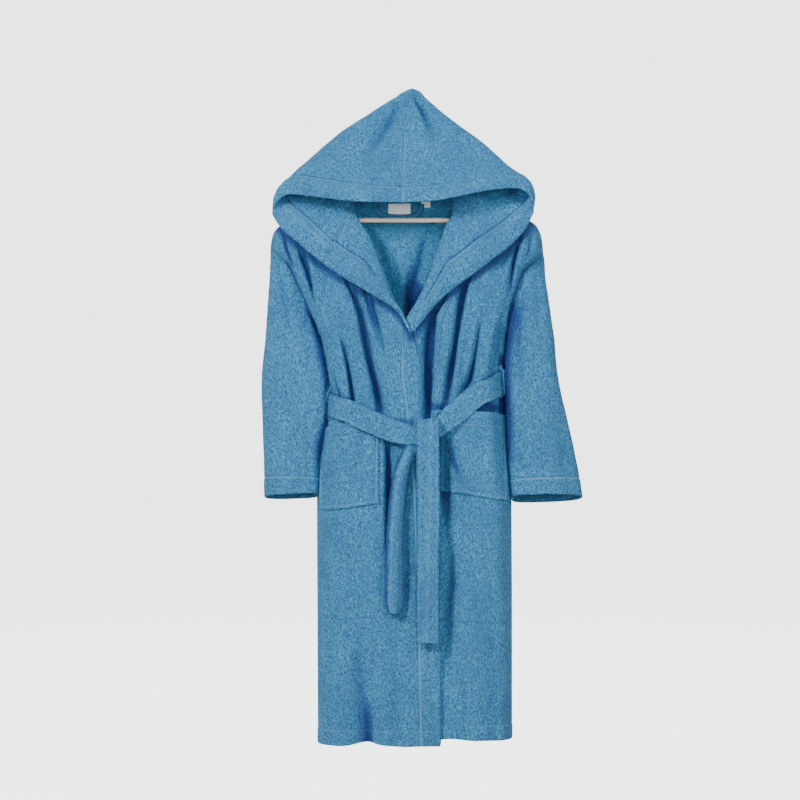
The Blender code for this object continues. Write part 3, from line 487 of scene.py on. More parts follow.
def panelDepth(across, height, hand, face):
    side = sideAcross(height, hand)
    seam = follow(torso, "seam", height)
    part = np.interp(height, sides[hand]["height"], sides[hand]["part"])
    seam = np.where(part > armholePart, follow(armholeOpen, face, part), seam)
    full = follow(torso, face, height)
    fromSide = np.abs(across - side) / follow(torso, hand + "Turn", height)
    rounded = dome(fromSide, follow(torso, "squareness", height))
    capped = dome((shoulderHeight(across, hand) - height) / 26.0, 2.0)
    return capped * mix(seam, full, rounded)


def edgeAcross(hand, height):
    return np.interp(height, frontEdges[hand]["height"], frontEdges[hand]["across"])


def frontDepth(across, height, hand):
    depth = panelDepth(across, height, hand, "front")
    if hand == "left":
        edge = edgeAcross("right", height)
        depth = depth + 8.5 * (1 - ramp(across, edge + 6, edge + 40))
    return depth


def flatCurve(rows, at):
    return np.stack([follow(rows, "across", at), 0 * at, follow(rows, "height", at)], axis=-1)


def spaceCurve(rows, at):
    return np.stack([follow(rows, name, at) for name in ("across", "depth", "height")], axis=-1)


def lineCurve(points):
    # a smooth curve through points, read by share of its length
    points = np.array(points, float)
    keys = np.concatenate([[0], np.cumsum(np.linalg.norm(np.diff(points, axis=0), axis=1))])
    rows = {"part": keys / keys[-1], "across": points[:, 0], "depth": points[:, 1], "height": points[:, 2]}
    return lambda at: spaceCurve(rows, np.asarray(at, float))


def coons(low, high, start, end, s, t):
    # fills four border curves; s runs along low and high, t from low to high
    sa, ta = s[..., None], t[..., None]
    rows = mix(low(s), high(s), ta)
    columns = mix(start(t), end(t), sa)
    zero, one = np.zeros(1), np.ones(1)
    corners = mix(mix(low(zero), low(one), sa), mix(high(zero), high(one), sa), ta)
    return rows + columns - corners


# close samples on both sides of a stitching line
besideLine = (-3.6, -1.9, -0.9, 0, 0.9, 1.9, 3.6)


def stations(start, end, step, lines=()):
    # sample places with about one step between them, and close ones on both sides of each line
    count = max(2, int(round((end - start) / step)) + 1)
    places = list(np.linspace(start, end, count))
    for line in lines:
        places = [p for p in places if abs(p - line) > 3.0 or p in (start, end)]
        places += [line + d for d in besideLine if start < line + d < end]
    places = sorted(places)
    kept = [places[0]]
    for p in places[1:]:
        if p - kept[-1] > 0.25:
            kept.append(p)
    return np.array(kept)


def groove(off, width=1.3):
    return np.exp(-((off / width) ** 2))


def outwards(grid, toward, around=False):
    along = np.gradient(grid, axis=0)
    if around:
        across = np.roll(grid, -1, axis=1) - np.roll(grid, 1, axis=1)
    else:
        across = np.gradient(grid, axis=1)
    out = np.cross(along, across)
    out /= np.maximum(np.linalg.norm(out, axis=2, keepdims=True), 1e-9)
    return -out if np.sum(out * toward) < 0 else out


def softened(values, times, around=False):
    # evens out a field over neighbouring samples
    for _ in range(times):
        padded = np.pad(values, ((1, 1), (0, 0), (0, 0)), mode="edge")
        values = (padded[:-2] + 2 * padded[1:-1] + padded[2:]) / 4
        padded = np.pad(values, ((0, 0), (1, 1), (0, 0)), mode="wrap" if around else "edge")
        values = (padded[:, :-2] + 2 * padded[:, 1:-1] + padded[:, 2:]) / 4
    return values


def addObject(name, data):
    thing = bpy.data.objects.new(name, data)
    bpy.context.scene.collection.objects.link(thing)
    return thing


def plainMesh(name, points, faces, material):
    mesh = bpy.data.meshes.new(name)
    mesh.from_pydata(points, [], faces)
    mesh.shade_smooth()
    mesh.materials.append(material)
    return addObject(name, mesh)


def joinMesh(name, points, faces, material, fields=()):
    mesh = bpy.data.meshes.new(name)
    points = np.asarray(points, float) * millimetre
    faces = np.asarray(faces, int)
    mesh.vertices.add(len(points))
    mesh.vertices.foreach_set("co", points.ravel())
    mesh.loops.add(faces.size)
    mesh.loops.foreach_set("vertex_index", faces.ravel())
    mesh.polygons.add(len(faces))
    mesh.polygons.foreach_set("loop_start", np.arange(len(faces)) * faces.shape[1])
    mesh.update(calc_edges=True)
    mesh.validate()
    mesh.shade_smooth()
    for label, values in fields:
        mesh.attributes.new(label, "FLOAT", "POINT").data.foreach_set("value", np.asarray(values, float))
    mesh.materials.append(material)
    return addObject(name, mesh)


def shellMesh(name, piece, material, around=False):
    # a closed wall on a grid, its free edges rounded
    grid, out = piece["grid"], piece["out"]
    rows, columns = grid.shape[:2]
    half = np.broadcast_to(piece.get("thick", clothThick), (rows, columns))[..., None] / 2
    index = np.arange(rows * columns).reshape(rows, columns)
    count = rows * columns
    points = [(grid + out * half).reshape(-1, 3), (grid - out * half).reshape(-1, 3)]
    wrap = np.concatenate([index, index[:, :1]], axis=1) if around else index
    quads = gridQuads(wrap)
    own = outwards(grid, out, around)
    along = np.gradient(grid, axis=0)
    across = np.roll(grid, -1, axis=1) - np.roll(grid, 1, axis=1) if around else np.gradient(grid, axis=1)
    turned = np.sum(np.cross(along, across) * own) > 0
    top = quads[:, ::-1] if turned else quads
    faces = [top, (quads if turned else quads[:, ::-1]) + count]
    if around:
        loops = [(index[0], index[1]), (index[-1][::-1], index[-2][::-1])]
    else:
        ring = np.concatenate([index[0], index[1:, -1], index[-1, ::-1][1:], index[::-1, 0][1:-1]])
        inner = np.concatenate([index[1], index[1:, -2], index[-2, ::-1][1:], index[::-1, 1][1:-1]])
        loops = [(ring, inner)]
    flat, way = grid.reshape(-1, 3), out.reshape(-1, 3)
    halves = half.reshape(-1, 1)
    total = 2 * count
    owner = [np.arange(count), np.arange(count)]
    for ring, inner in loops:
        off = flat[ring] - flat[inner]
        off -= way[ring] * np.sum(off * way[ring], axis=1, keepdims=True)
        off /= np.maximum(np.linalg.norm(off, axis=1, keepdims=True), 1e-9)
        chain = [ring]
        for degrees in (45, 90, 135):
            angle = math.radians(degrees)
            points.append(flat[ring] + halves[ring] * (way[ring] * math.cos(angle) + off * math.sin(angle)))
            chain.append(total + np.arange(len(ring)))
            owner.append(ring)
            total += len(ring)
        chain.append(ring + count)
        for low, high in zip(chain[:-1], chain[1:]):
            strip = np.stack([low, np.roll(low, -1), np.roll(high, -1), high], axis=-1)
            faces.append(strip if turned else strip[:, ::-1])
    owner = np.concatenate(owner)
    fields = []
    for label, values in piece.get("fields", {}).items():
        # a pair holds the values of the outer and the inner face
        pair = values if isinstance(values, tuple) else (values, values)
        outer, inner = [np.broadcast_to(v, (rows, columns)).ravel() for v in pair]
        fields.append((label, np.concatenate([outer, inner, outer[owner[2 * count :]]])))
    thing = joinMesh(name, np.concatenate(points), np.concatenate(faces), material, fields)
    return faceOut(thing)


def gridQuads(index):
    return np.stack([index[:-1, :-1], index[:-1, 1:], index[1:, 1:], index[1:, :-1]], axis=-1).reshape(-1, 4)


def faceOut(thing):
    # turns the whole mesh over if its volume is negative
    mesh = thing.data
    mesh.calc_loop_triangles()
    co = np.empty(len(mesh.vertices) * 3)
    mesh.vertices.foreach_get("co", co)
    corner = np.empty(len(mesh.loop_triangles) * 3, int)
    mesh.loop_triangles.foreach_get("vertices", corner)
    a, b, c = co.reshape(-1, 3)[corner.reshape(-1, 3)].transpose(1, 0, 2)
    if np.sum(a * np.cross(b, c)) < 0:
        mesh.flip_normals()
    return thing


# folds seen on the fronts, from top to bottom
frontFolds = [
    fold((-247, -258, 3, 8), (-240, -290, 4, 15), (-232, -315, 4, 15), (-222, -345, 3.5, 8),
        (-214, -372, 3, 0), crisp=1),
    fold((228, -262, 3, 5), (222, -296, 3.5, 13), (213, -322, 3.5, 13), (205, -346, 3.5, 6), crisp=-1),
    fold((-213, -288, 7, 3), (-207, -310, 7, 13), (-199, -332, 6, 15), (-191, -366, 5, 13),
        (-184, -404, 3.5, 3), crisp=1),
    fold((-184, -300, 10, 0), (-170, -330, 12, 8), (-156, -362, 11, 5), (-150, -400, 12, 0)),
    fold((-200, -400, 10, 0), (-184, -450, 10, 4), (-170, -520, 12, 0)),
    fold((-124, -350, 7, 6), (-111, -382, 8.5, 15), (-99, -420, 8, 15), (-87, -477, 8, 14), (-78, -524, 8, 13),
        (-68, -567, 8, 12), (-60, -612, 7, 7), crisp=-1),
    fold((-90, -362, 7, 9), (-82, -384, 9.5, 14), (-71, -424, 9.5, 14), (-61, -458, 8, 10),
        (-54, -505, 7, 3), crisp=1),
    fold((-84, -500, 10, 0), (-66, -560, 12, 5), (-52, -610, 12, 4)),
    fold((-140, -440, 5, 0), (-131, -478, 5, 8), (-123, -516, 5.5, 13), (-118, -548, 5.5, 15),
        (-113, -584, 6, 12), crisp=-1),
    fold((-146, -541, 2.5, 6), (-136, -570, 2.5, 9), crisp=-1),
    fold((106, -346, 7, 8), (102, -362, 8, 15), (96, -392, 7.5, 17), (89, -439, 7, 17), (82, -486, 7, 17),
        (74, -534, 7, 15),
        (66, -584, 7, 11), (60, -620, 7, 5), crisp=1),
    fold((58, -388, 9, 10), (41, -420, 11, 18), (37, -462, 11, 19), (34, -510, 10.5, 19),
        (32, -557, 10, 18), (32, -620, 9, 14), crisp=1),
    fold((132, -425, 6, 0), (127, -452, 6, 9), (122, -486, 6, 14), (116, -520, 6.5, 16),
        (110, -545, 8, 16), (100, -562, 8, 13),
        (90, -582, 4, 4)),
    fold((192, -276, 9, 4), (178, -308, 11, 9), (162, -332, 11, 6), (146, -356, 10, 0)),
    fold((206, -268, 4, 4), (200, -296, 4.5, 14), (194, -325, 4.5, 15), (188, -363, 4, 11),
        (182, -400, 3, 0), crisp=1),
    fold((178, -400, 7, 0), (168, -440, 8, 6), (158, -500, 8, 7), (150, -540, 8, 2)),
    fold((150, -372, 10, 0), (142, -420, 12, 5), (140, -470, 12, 0)),
    fold((-108, -940, 10, 0), (-104, -1030, 13, 5), (-100, -1110, 17, 8), (-96, -1180, 20, 10),
        (-93, -1250, 22, 12)),
    fold((-82, -1120, 8, 0), (-80, -1190, 9, 7), (-78, -1250, 9, 9), crisp=1),
    fold((72, -850, 8, 4), (76, -930, 13, 11), (68, -1010, 14, 9), (60, -1120, 12, 0)),
    fold((4, -760, 10, 0), (-2, -900, 14, 6), (-30, -1060, 18, 5), (-34, -1250, 18, 6)),
    fold((140, -820, 12, 0), (146, -960, 22, 5), (150, -1100, 24, 6), (146, -1250, 24, 7)),
    fold((-158, -850, 8, 0), (-152, -1000, 14, 4), (-154, -1250, 16, 5)),
    fold((104, -1000, 10, 0), (98, -1120, 16, 5), (96, -1250, 18, 7)),
    fold((-47, -656, 7, 8), (-46, -700, 8, 16), (-45, -760, 8, 17), (-44, -830, 8, 14), (-44, -890, 9, 0),
        crisp=-1),
    fold((58, -650, 8, 10), (66, -700, 11, 15), (64, -760, 11, 12), (60, -820, 10, 4), (58, -860, 10, 0),
        crisp=1),
]
backFolds = [
    fold((-150, -300, 14, 0), (-100, -420, 20, 10), (-82, -640, 18, 12), (-104, -900, 26, 10),
        (-112, -1250, 28, 12)),
    fold((-60, -330, 12, 0), (-20, -520, 18, 11), (-12, -640, 14, 12), (12, -900, 30, 8), (14, -1250, 30, 10)),
    fold((140, -300, 14, 0), (98, -440, 20, 10), (78, -640, 16, 12), (96, -900, 26, 10), (110, -1250, 28, 12)),
    fold((40, -400, 12, 0), (36, -560, 14, 9), (30, -700, 12, 6), (48, -860, 14, 0)),
]
innerBackFolds = [
    fold((-87, -245, 8, 2), (-60, -300, 10, 9), (-42, -370, 9, 7), (-30, -430, 8, 0)),
    fold((40, -232, 7, 5), (22, -285, 9, 10), (13, -330, 9, 12), (-4, -400, 9, 5)),
    fold((-8, -270, 9, 0), (-14, -340, 12, -9), (-18, -420, 10, -9), (-20, -500, 9, 0)),
    fold((-6, -330, 6, 0), (-10, -380, 7, 14), (-12, -440, 7, 16), (-14, -520, 8, 6)),
]

panel = {
    "step": 4.6,
    "edgeZone": 62.0,
    "edgeBand": 36.0,
    "hemBand": 27.0,
    "cuffBand": 31.0,
    "bandRaise": 1.6,
    "lumpSizes": (46.0, 17.0),
    "lumpHeights": (2.0, 0.7),
}


def rumple(piece, settings, seed, calm=1.0):
    # uneven cloth: broad waves and small lumps along the outward direction
    grid, out = piece["grid"], piece["out"]
    move = 0
    for k, (size, height) in enumerate(zip(settings["lumpSizes"], settings["lumpHeights"])):
        move = move + height * lumps(grid, (size, size, size * 1.7), seed + k)
    grid += out * (move * calm)[..., None]


def panelRows():
    # shares of the height, close together near the shoulder and along the hem's stitching
    skirt, chest, top = np.linspace(0, 0.78, 212), np.linspace(0.78, 0.975, 46), np.linspace(0.975, 1.0, 12)
    base = np.concatenate([skirt, chest[1:], top[1:]])
    line = panel["hemBand"] / (1236.0 - 1000.0) * 0.24
    extra = line + np.array([-1.9, -0.9, 0, 0.9, 1.9]) / 1000.0
    return np.unique(np.concatenate([base, extra])), line


rowParts, hemPart = panelRows()
hemLine = (rowParts - hemPart)[:, None] * 1000  # about the millimetres above the hem's stitching
farAway = 99.0  # distance given to columns that are nowhere near the edge

# seeds of the uneven cloth
seeds = {
    "front": {"right": 11, "left": 23},
    "back": 31,
    "sleeve": {"right": 41, "left": 43},
    "lapel": {"right": 51, "left": 53},
    "hood": {"right": 61, "left": 63},
    "pocket": {"right": 71, "left": 73},
}


def rowAt(part):
    return int(np.searchsorted(rowParts, part))


def nearest(off):
    return int(np.argmin(np.abs(off)))


def edgeShares(main, inset, width, edgeZone, narrow):
    # columns spread out at first; the last ones keep their distance from the free edge
    start = width - edgeZone * narrow
    return np.concatenate([main[None] * start[:, None], width[:, None] - inset[None] * narrow[:, None]], axis=1)


def sewIn(piece, thick, dent):
    # the stitching pulls in the outer face
    piece["grid"] -= piece["out"] * (dent / 2)[..., None]
    piece["thick"] = thick - dent


def shoulderCurve(hand, at):
    # from the tip to the neck point
    tip, neck = sides[hand]["across"][-1], frontEdges[hand]["across"][-1]
    across = tip + (neck - tip) * at**1.25
    height = np.where(at <= 0, sides[hand]["height"][-1], shoulderHeight(across, hand))
    return np.stack([across, 0 * across, height], axis=-1)


def sideSeamDepth(hand, face):
    seam = follow(torso, "seam", follow(sides[hand], "height", rowParts))
    start = follow(torso, "seam", follow(sides[hand], "height", np.array([armholePart])))
    share = ramp(rowParts, armholePart, 1.0)
    return np.where(rowParts > armholePart, mix(start, 0.0, share), seam) + follow(armholeOpen, face, rowParts)


def beltLine(hand):
    # the belt's middle line as seen from the front
    parts = np.linspace(0.05, 0.24, 30) if hand == "right" else np.linspace(0.95, 0.76, 30)
    line = np.array([beltPoint(part) for part in parts])
    line = line[np.argsort(line[:, 0])]
    return lambda x: np.interp(x, line[:, 0], line[:, 2])


def beltShade(x, z, hand):
    # shade just above and below the belt
    off = np.abs(z - beltLine(hand)(x)) * 0.93 - 20.0
    reach = ramp(x * handSign(hand), 20, 40) if hand == "left" else ramp(-x, -14, 0)
    return 13 * np.exp(-((np.maximum(off, 0) / 5.5) ** 2)) * reach * (off > -10)


def shadeOn(x, z, hand):
    # painted shade below the free edges of lapel and hood, and in the pocket mouths
    shade = np.zeros(np.shape(x))
    at = np.linspace(0, 1, 60)
    lines = [flatCurve(lapelEdges[hand], at), spaceCurve(hoodTurnedEdges[hand], at)]
    for spot in np.concatenate(lines):
        away = np.hypot(x - spot[0], (z - spot[2] + 7) * 0.9)
        shade = np.maximum(shade, 15 * np.exp(-((away / 11) ** 2)))
    mouth = (-116, -612) if hand == "right" else (138, -596)
    away = np.hypot((x - mouth[0]) / 32, (z - mouth[1]) / 12)
    shade = np.maximum(shade, 19 * np.exp(-(away**4)))
    # painted dark strip where the gap between the left sleeve and the body lies in shade
    if hand == "left":
        beside = ramp(x, 158, 168) * ramp(-z, 478, 512) * (1 - ramp(-z, 640, 668))
        shade = np.maximum(shade, 22 * beside)
    # painted shade along the armhole seam
    top, full = (302, 324) if hand == "right" else (305, 335)
    fromSide = np.abs(x - sideAcross(z, hand))
    armhole = 15 * groove(fromSide, 5.5) * ramp(-z, top, full) * (1 - ramp(-z, 430, 470))
    return np.maximum(np.maximum(shade, armhole), beltShade(x, z, hand))


def makeFront(hand):
    # columns run from the side seam to the front edge
    sign = 1.0 if hand == "right" else -1.0
    edge = flatCurve(frontEdges[hand], rowParts)
    side = flatCurve(sides[hand], rowParts)
    width = np.abs(edge[:, 0] - side[:, 0])
    edgeZone = panel["edgeZone"]
    inset = stations(0, edgeZone, panel["step"], [panel["edgeBand"]])[::-1]
    main = np.linspace(0, 1, 104)[:-1] ** 1.1
    zone = np.minimum(edgeZone, 0.3 * width) / edgeZone
    narrow = mix(zone, 0.45 * zone, ramp(rowParts, 0.69, 0.79))
    share = edgeShares(main, inset, width, edgeZone, narrow) / width[:, None]
    t = np.broadcast_to(rowParts[:, None], share.shape)
    hemEnds = (flatCurve(sides[hand], np.zeros(1))[0], flatCurve(frontEdges[hand], np.zeros(1))[0])
    grid = coons(
        lambda s: mix(hemEnds[0], hemEnds[1], s[..., None]),
        lambda s: shoulderCurve(hand, s),
        lambda at: flatCurve(sides[hand], at),
        lambda at: flatCurve(frontEdges[hand], at),
        share,
        t,
    )
    x, z = grid[..., 0], grid[..., 2]
    fromEdge = np.concatenate([np.full(len(main), farAway), inset])
    if hand == "right":
        sag = 7 * groove(x + 87, 30) - 1.5 * groove(x + 20, 30)
    else:
        sag = 3 * groove(x - 75, 22)
    grid[..., 2] += sag * (1 - ramp(t, 0, 0.02))
    hollowShade = foldDepth(frontFolds, x, z, 1.2)
    fade = ramp(np.abs(x - side[:, None, 0]), 0, 14) * (1 - 0.8 * ramp(t, 0.965, 0.995))
    keep = mix(1.0, 0.25, groove(fromEdge, 16)[None] * ramp(rowParts, 0.76, 0.8)[:, None])
    # painted shade in the folds, kept up to the side seam
    dark = hollowShade * keep * ramp(np.abs(x - side[:, None, 0]), 0, 2)
    hollowShade = hollowShade * fade * keep
    grid[..., 1] = frontDepth(x, z, hand)
    grid[:, 0, 1] = sideSeamDepth(hand, "front")
    grid[-1, :, 1] = 0.0
    grid[..., 1] += hollowShade
    out = softened(outwards(grid, np.array([0.0, -1.0, 0.0])), 1)
    line = fromEdge - panel["edgeBand"]
    stitched = (1 - ramp(rowParts, 0.785, 0.80))[:, None]
    thick = clothThick + panel["bandRaise"] * np.maximum((line < 0)[None] * stitched, hemLine < 0)
    dent = 1.3 * np.maximum(groove(line)[None] * stitched, groove(hemLine))
    seam = np.maximum(groove(line, 1.7)[None] * stitched, 0.3 * groove(hemLine, 1.5))
    # painted shade: folds, under the lapel and hood edges, pocket mouth, armhole and belt
    hollowShade = np.maximum(dark, shadeOn(x, z, hand))
    # painted shadow line beside the front band's stitching on the right front
    hollowShade = np.maximum(hollowShade, 8 * groove(line - 2.8, 1.7)[None] * stitched * (hand == "right"))
    piece = {"grid": grid, "out": out, "thick": thick, "fields": {"hollowShade": (hollowShade, 0 * hollowShade), "seam": seam}}
    piece["line"] = nearest(line)
    piece["hemRow"] = nearest(hemLine)
    rumple(piece, panel, seeds["front"][hand], calm=fade * mix(0.5, 1, ramp(fromEdge, 0, 30)))
    sewIn(piece, thick, dent)
    return piece


def neckCurve():
    ends = [shoulderCurve("right", np.ones(1))[0], shoulderCurve("left", np.ones(1))[0]]
    low = np.array(neckLow)
    at = np.concatenate([np.linspace(0, 0.12, 5), np.linspace(0.18, 1, 18)])
    halves = []
    for end in ends:
        share = follow(backNeck, "part", at)
        line = mix(end, low, share[:, None])
        line[:, 1] = follow(backNeck, "depth", at)
        line[:, 2] = mix(end[2], low[2], follow(backNeck, "drop", at))
        halves.append(line)
    return np.concatenate([halves[0], halves[1][::-1][1:]]), len(at)


def makeBack():
    share = np.linspace(0, 1, 44) ** 1.15
    neck, neckHalf = neckCurve()
    right, left = shoulderCurve("right", share), shoulderCurve("left", share)
    top = np.concatenate([right, neck[1:-1], left[::-1]])
    steps = np.linalg.norm(np.diff(top, axis=0), axis=1)
    across = np.concatenate([[0], np.cumsum(steps)]) / steps.sum()
    across = mix(across, (top[:, 0] - top[0, 0]) / (top[-1, 0] - top[0, 0]), 0.5)
    topDepth = top[:, 1].copy()
    flatTop = top.copy()
    flatTop[:, 1] = 0
    rightSide, leftSide = flatCurve(sides["right"], rowParts), flatCurve(sides["left"], rowParts)
    s = np.broadcast_to(across[None], (len(rowParts), len(across)))
    t = np.broadcast_to(rowParts[:, None], s.shape)
    hem = mix(rightSide[0], leftSide[0], across[:, None])
    sa, ta = s[..., None], t[..., None]
    grid = mix(hem[None], flatTop[None], ta) + mix(rightSide[:, None], leftSide[:, None], sa)
    grid -= mix(mix(hem[0], hem[-1], sa), mix(flatTop[0], flatTop[-1], sa), ta)
    lift = -1222.0 - grid[0, :, 2]
    grid[..., 2] += lift[None] * (1 - ramp(t, 0, 0.3)) * (ramp(s, 0, 0.06) * (1 - ramp(s, 0.94, 1)))
    middle = len(across) // 2
    for hand, part in (("right", slice(0, middle)), ("left", slice(middle, None))):
        grid[:, part, 1] = panelDepth(grid[:, part, 0], grid[:, part, 2], hand, "back")
    x, z = grid[..., 0], grid[..., 2]
    inNeck = (topDepth > 0)[None]
    toNeck = mix(grid[..., 1], topDepth[None], ramp(t, 0.90, 1.0))
    near = np.maximum(toNeck, np.minimum(grid[..., 1], topDepth[None] + 2.0))
    grid[..., 1] = np.where(inNeck, near, grid[..., 1])
    grid[-1, :, 1] = topDepth
    grid[:, 0, 1] = sideSeamDepth("right", "back")
    grid[:, -1, 1] = sideSeamDepth("left", "back")
    fade = ramp(s, 0.0, 0.06) * (1 - ramp(s, 0.94, 1.0)) * (1 - ramp(t, 0.93, 0.985))
    # painted shade in the deep V below the neck on the inner back
    wide = mix(12, 24, ramp(-z, 300, 400))
    vShade = 24 * np.exp(-(np.abs((x - 6 + 0.12 * (z + 390)) / wide) ** 3))
    vShade = vShade * ramp(-z, 290, 400) * (1 - ramp(-z, 520, 600))
    pressed = foldDepth(backFolds, x, z, 1.0) * ramp(-z, 300, 480)
    pressed = pressed + foldDepth(innerBackFolds, x, z, -1.0) * (1 - ramp(-z, 430, 560))
    grid[..., 1] -= pressed * fade
    out = softened(outwards(grid, np.array([0.0, 1.0, 0.0])), 1)
    thick = clothThick + panel["bandRaise"] * (hemLine < 0) + 0 * s
    dent = 1.3 * groove(hemLine) + 0 * s
    # painted light on the inner back round the label
    paintedLight = 9 * np.exp(-(((x + 12) / 72) ** 4) - ((z + 222) / 44) ** 4)
    # outer face: painted shade in the folds; inner face: painted shade in its folds and the V, less painted light
    # round the label
    hollowShade = (pressed * fade, np.maximum(-pressed * fade, vShade) - paintedLight)
    piece = {"grid": grid, "out": out, "fields": {"hollowShade": hollowShade, "seam": 0.3 * groove(hemLine, 1.5) + 0 * s}}
    piece["hemRow"] = nearest(hemLine)
    rumple(piece, panel, seeds["back"], calm=fade)
    sewIn(piece, thick, dent)
    first = len(share) - 1
    piece["neck"] = slice(first, first + 2 * neckHalf - 1)
    piece["neckHalf"] = neckHalf
    return piece


# inner edge of each hanging sleeve, as seen from the front
sleeveInner = {
    "right": table(
        "height across",
        (-770, -179), (-700, -176), (-650, -168), (-625, -160), (-600, -155),
        (-562, -157), (-500, -167), (-458, -177), (-400, -196),
    ),
    "left": table(
        "height across",
        (-770, 189), (-661, 180), (-619, 180), (-581, 178), (-509, 177), (-452, 184), (-400, 192),
    ),
}
beltAtSide = {"right": -584.0, "left": -546.0}


def besideBody(hand):
    # how far out the body and its belt reach, for each height and depth
    heights, depths = np.arange(-800.0, -380.0, 6.0), np.arange(-60.0, 62.0, 3.0)
    inwards = np.linspace(0, 70, 60)
    limit = []
    for height in heights:
        side = sideAcross(height, hand)
        across = side - handSign(hand) * inwards
        front, rear = [panelDepth(across, height, hand, face) for face in ("front", "back")]
        reach = abs(side) - inwards
        line = np.stack([np.concatenate([front[::-1], rear[1:]]), np.concatenate([reach[::-1], reach[1:]])])
        way = np.gradient(line, axis=1)
        way /= np.maximum(np.hypot(*way), 1e-6)
        gap = 3.0 + 10.5 * (1 - ramp(abs(height - beltAtSide[hand]), 26, 36))
        limit.append(np.interp(depths, line[0] - way[1] * gap, line[1] + way[0] * gap))
    limit = np.array(limit)

    def reachAt(depth, height):
        row = np.clip((height - heights[0]) / 6.0, 0, len(heights) - 1.001)
        column = np.clip((depth - depths[0]) / 3.0, 0, len(depths) - 1.001)
        r, c = row.astype(int), column.astype(int)
        low = mix(limit[r, c], limit[r, c + 1], column - c)
        return mix(low, mix(limit[r + 1, c], limit[r + 1, c + 1], column - c), row - r)

    return reachAt


def makeSleeve(hand, front, back):
    # rings from the armhole down to the cuff
    rows = sleeves[hand]
    sign = handSign(hand)
    count = 96
    first = rowAt(armholePart)
    column = 0 if hand == "right" else -1
    frontEdge = lineCurve(front["grid"][first:, 0][::-1])(np.linspace(0, 1, count // 2 + 1))
    backEdge = lineCurve(back["grid"][first:, column])(np.linspace(0, 1, count // 2 + 1))
    rings = [np.concatenate([frontEdge, backEdge[1:-1]])]
    angle = np.linspace(0, 2 * math.pi, count, endpoint=False)
    for outerX, outerZ, innerX, innerZ, middleY, halfDepth, tilt in zip(*rows.values()):
        outer, inner = np.array([outerX, middleY, outerZ]), np.array([innerX, middleY, innerZ])
        centre = (outer + inner) / 2
        outside = np.cos(angle) > 0
        reach = np.where(outside, 1.0, -1.0) * np.abs(np.cos(angle)) ** np.where(outside, 0.9, 0.36)
        stand = np.sign(np.sin(angle)) * np.abs(np.sin(angle)) ** 0.9
        ring = centre + (outer - centre) * reach[:, None]
        ring[:, 1] -= halfDepth * stand
        ring[:, 2] += tilt * 0.5 * (stand - 1)
        rings.append(ring)
    rings = np.array(rings)
    for k, ring in enumerate(rings[1:], 1):
        inner = ring[count // 2, 0]
        outer = ring[0, 0]
        limit = float(follow(sleeveInner[hand], "across", ring[count // 2, 2]))
        rings[k, :, 0] = outer + (ring[:, 0] - outer) * (limit - outer) / (inner - outer)
    keys = np.concatenate([[0], np.cumsum(np.linalg.norm(np.diff(rings.mean(axis=1), axis=0), axis=1))])
    length = keys[-1]
    cuffAt = length - panel["cuffBand"]
    at = stations(0, length, 5.0, [cuffAt])
    spot = np.clip(np.searchsorted(keys, at, side="right") - 1, 0, len(keys) - 2)
    span = (keys[spot + 1] - keys[spot])[:, None, None]
    part = ((at - keys[spot]) / span[:, 0, 0])[:, None, None]
    slopes = np.gradient(rings, keys, axis=0)
    slopes[0] = 0.5 * slopes[0]
    grid = hermite(rings[spot], rings[spot + 1], slopes[spot], slopes[spot + 1], span, part)
    out = softened(outwards(grid, grid - grid.mean(axis=1, keepdims=True), True), 2, True)
    out /= np.linalg.norm(out, axis=2, keepdims=True)
    facing = np.clip(-out[..., 1] * 1.5, -1, 1)
    pressed = foldDepth(sleeveFolds[hand], grid[..., 0], grid[..., 2], 1.0) * np.clip(facing, 0, 1)
    # painted shade on the sleeve beside the body
    fromBody = np.abs(grid[..., 0] - follow(sleeveInner[hand], "across", grid[..., 2]))
    reachDown = ramp(-grid[..., 2], 360, 420) * (1 - ramp(-grid[..., 2], 660, 760))
    shaded = (16 * groove(fromBody, 12) + 6 * groove(fromBody, 32)) * reachDown
    # painted shade just below the armhole seam, on the side facing front
    below = ramp(-grid[..., 2], *((302, 326) if hand == "right" else (300, 335))) * np.clip(facing, 0, 1)
    shaded = np.maximum(shaded, 22 * (1 - ramp(at, 3, 13))[:, None] * below)
    pressed = pressed + foldDepth(sleeveBackFolds[hand], grid[..., 0], grid[..., 2], 1.0) * np.clip(-facing, 0, 1)
    fade = (ramp(at, 0, 14))[:, None]
    grid -= out * (pressed * fade)[..., None]
    out = softened(outwards(grid, out, True), 1, True)
    line = (at - cuffAt)[:, None]
    dent = 1.3 * groove(line) + 0 * pressed
    thick = clothThick + panel["bandRaise"] * (line > 0) + 0 * pressed
    # painted shade in the folds, beside the body and below the armhole
    fields = {"hollowShade": pressed * fade + shaded, "seam": groove(line, 1.5)}
    piece = {"grid": grid, "out": out, "fields": fields}
    rumple(piece, panel, seeds["sleeve"][hand], calm=fade)
    sewIn(piece, thick, dent)
    piece["cuffRow"] = nearest(line)
    reach = np.abs(piece["grid"][..., 0])
    beside = besideBody(hand)(piece["grid"][..., 1], piece["grid"][..., 2])
    pushed = np.maximum(beside + clothThick / 2, reach) - reach
    piece["grid"][..., 0] += sign * softened((pushed * ramp(at, 25, 70)[:, None])[..., None], 2, True)[..., 0]
    return piece


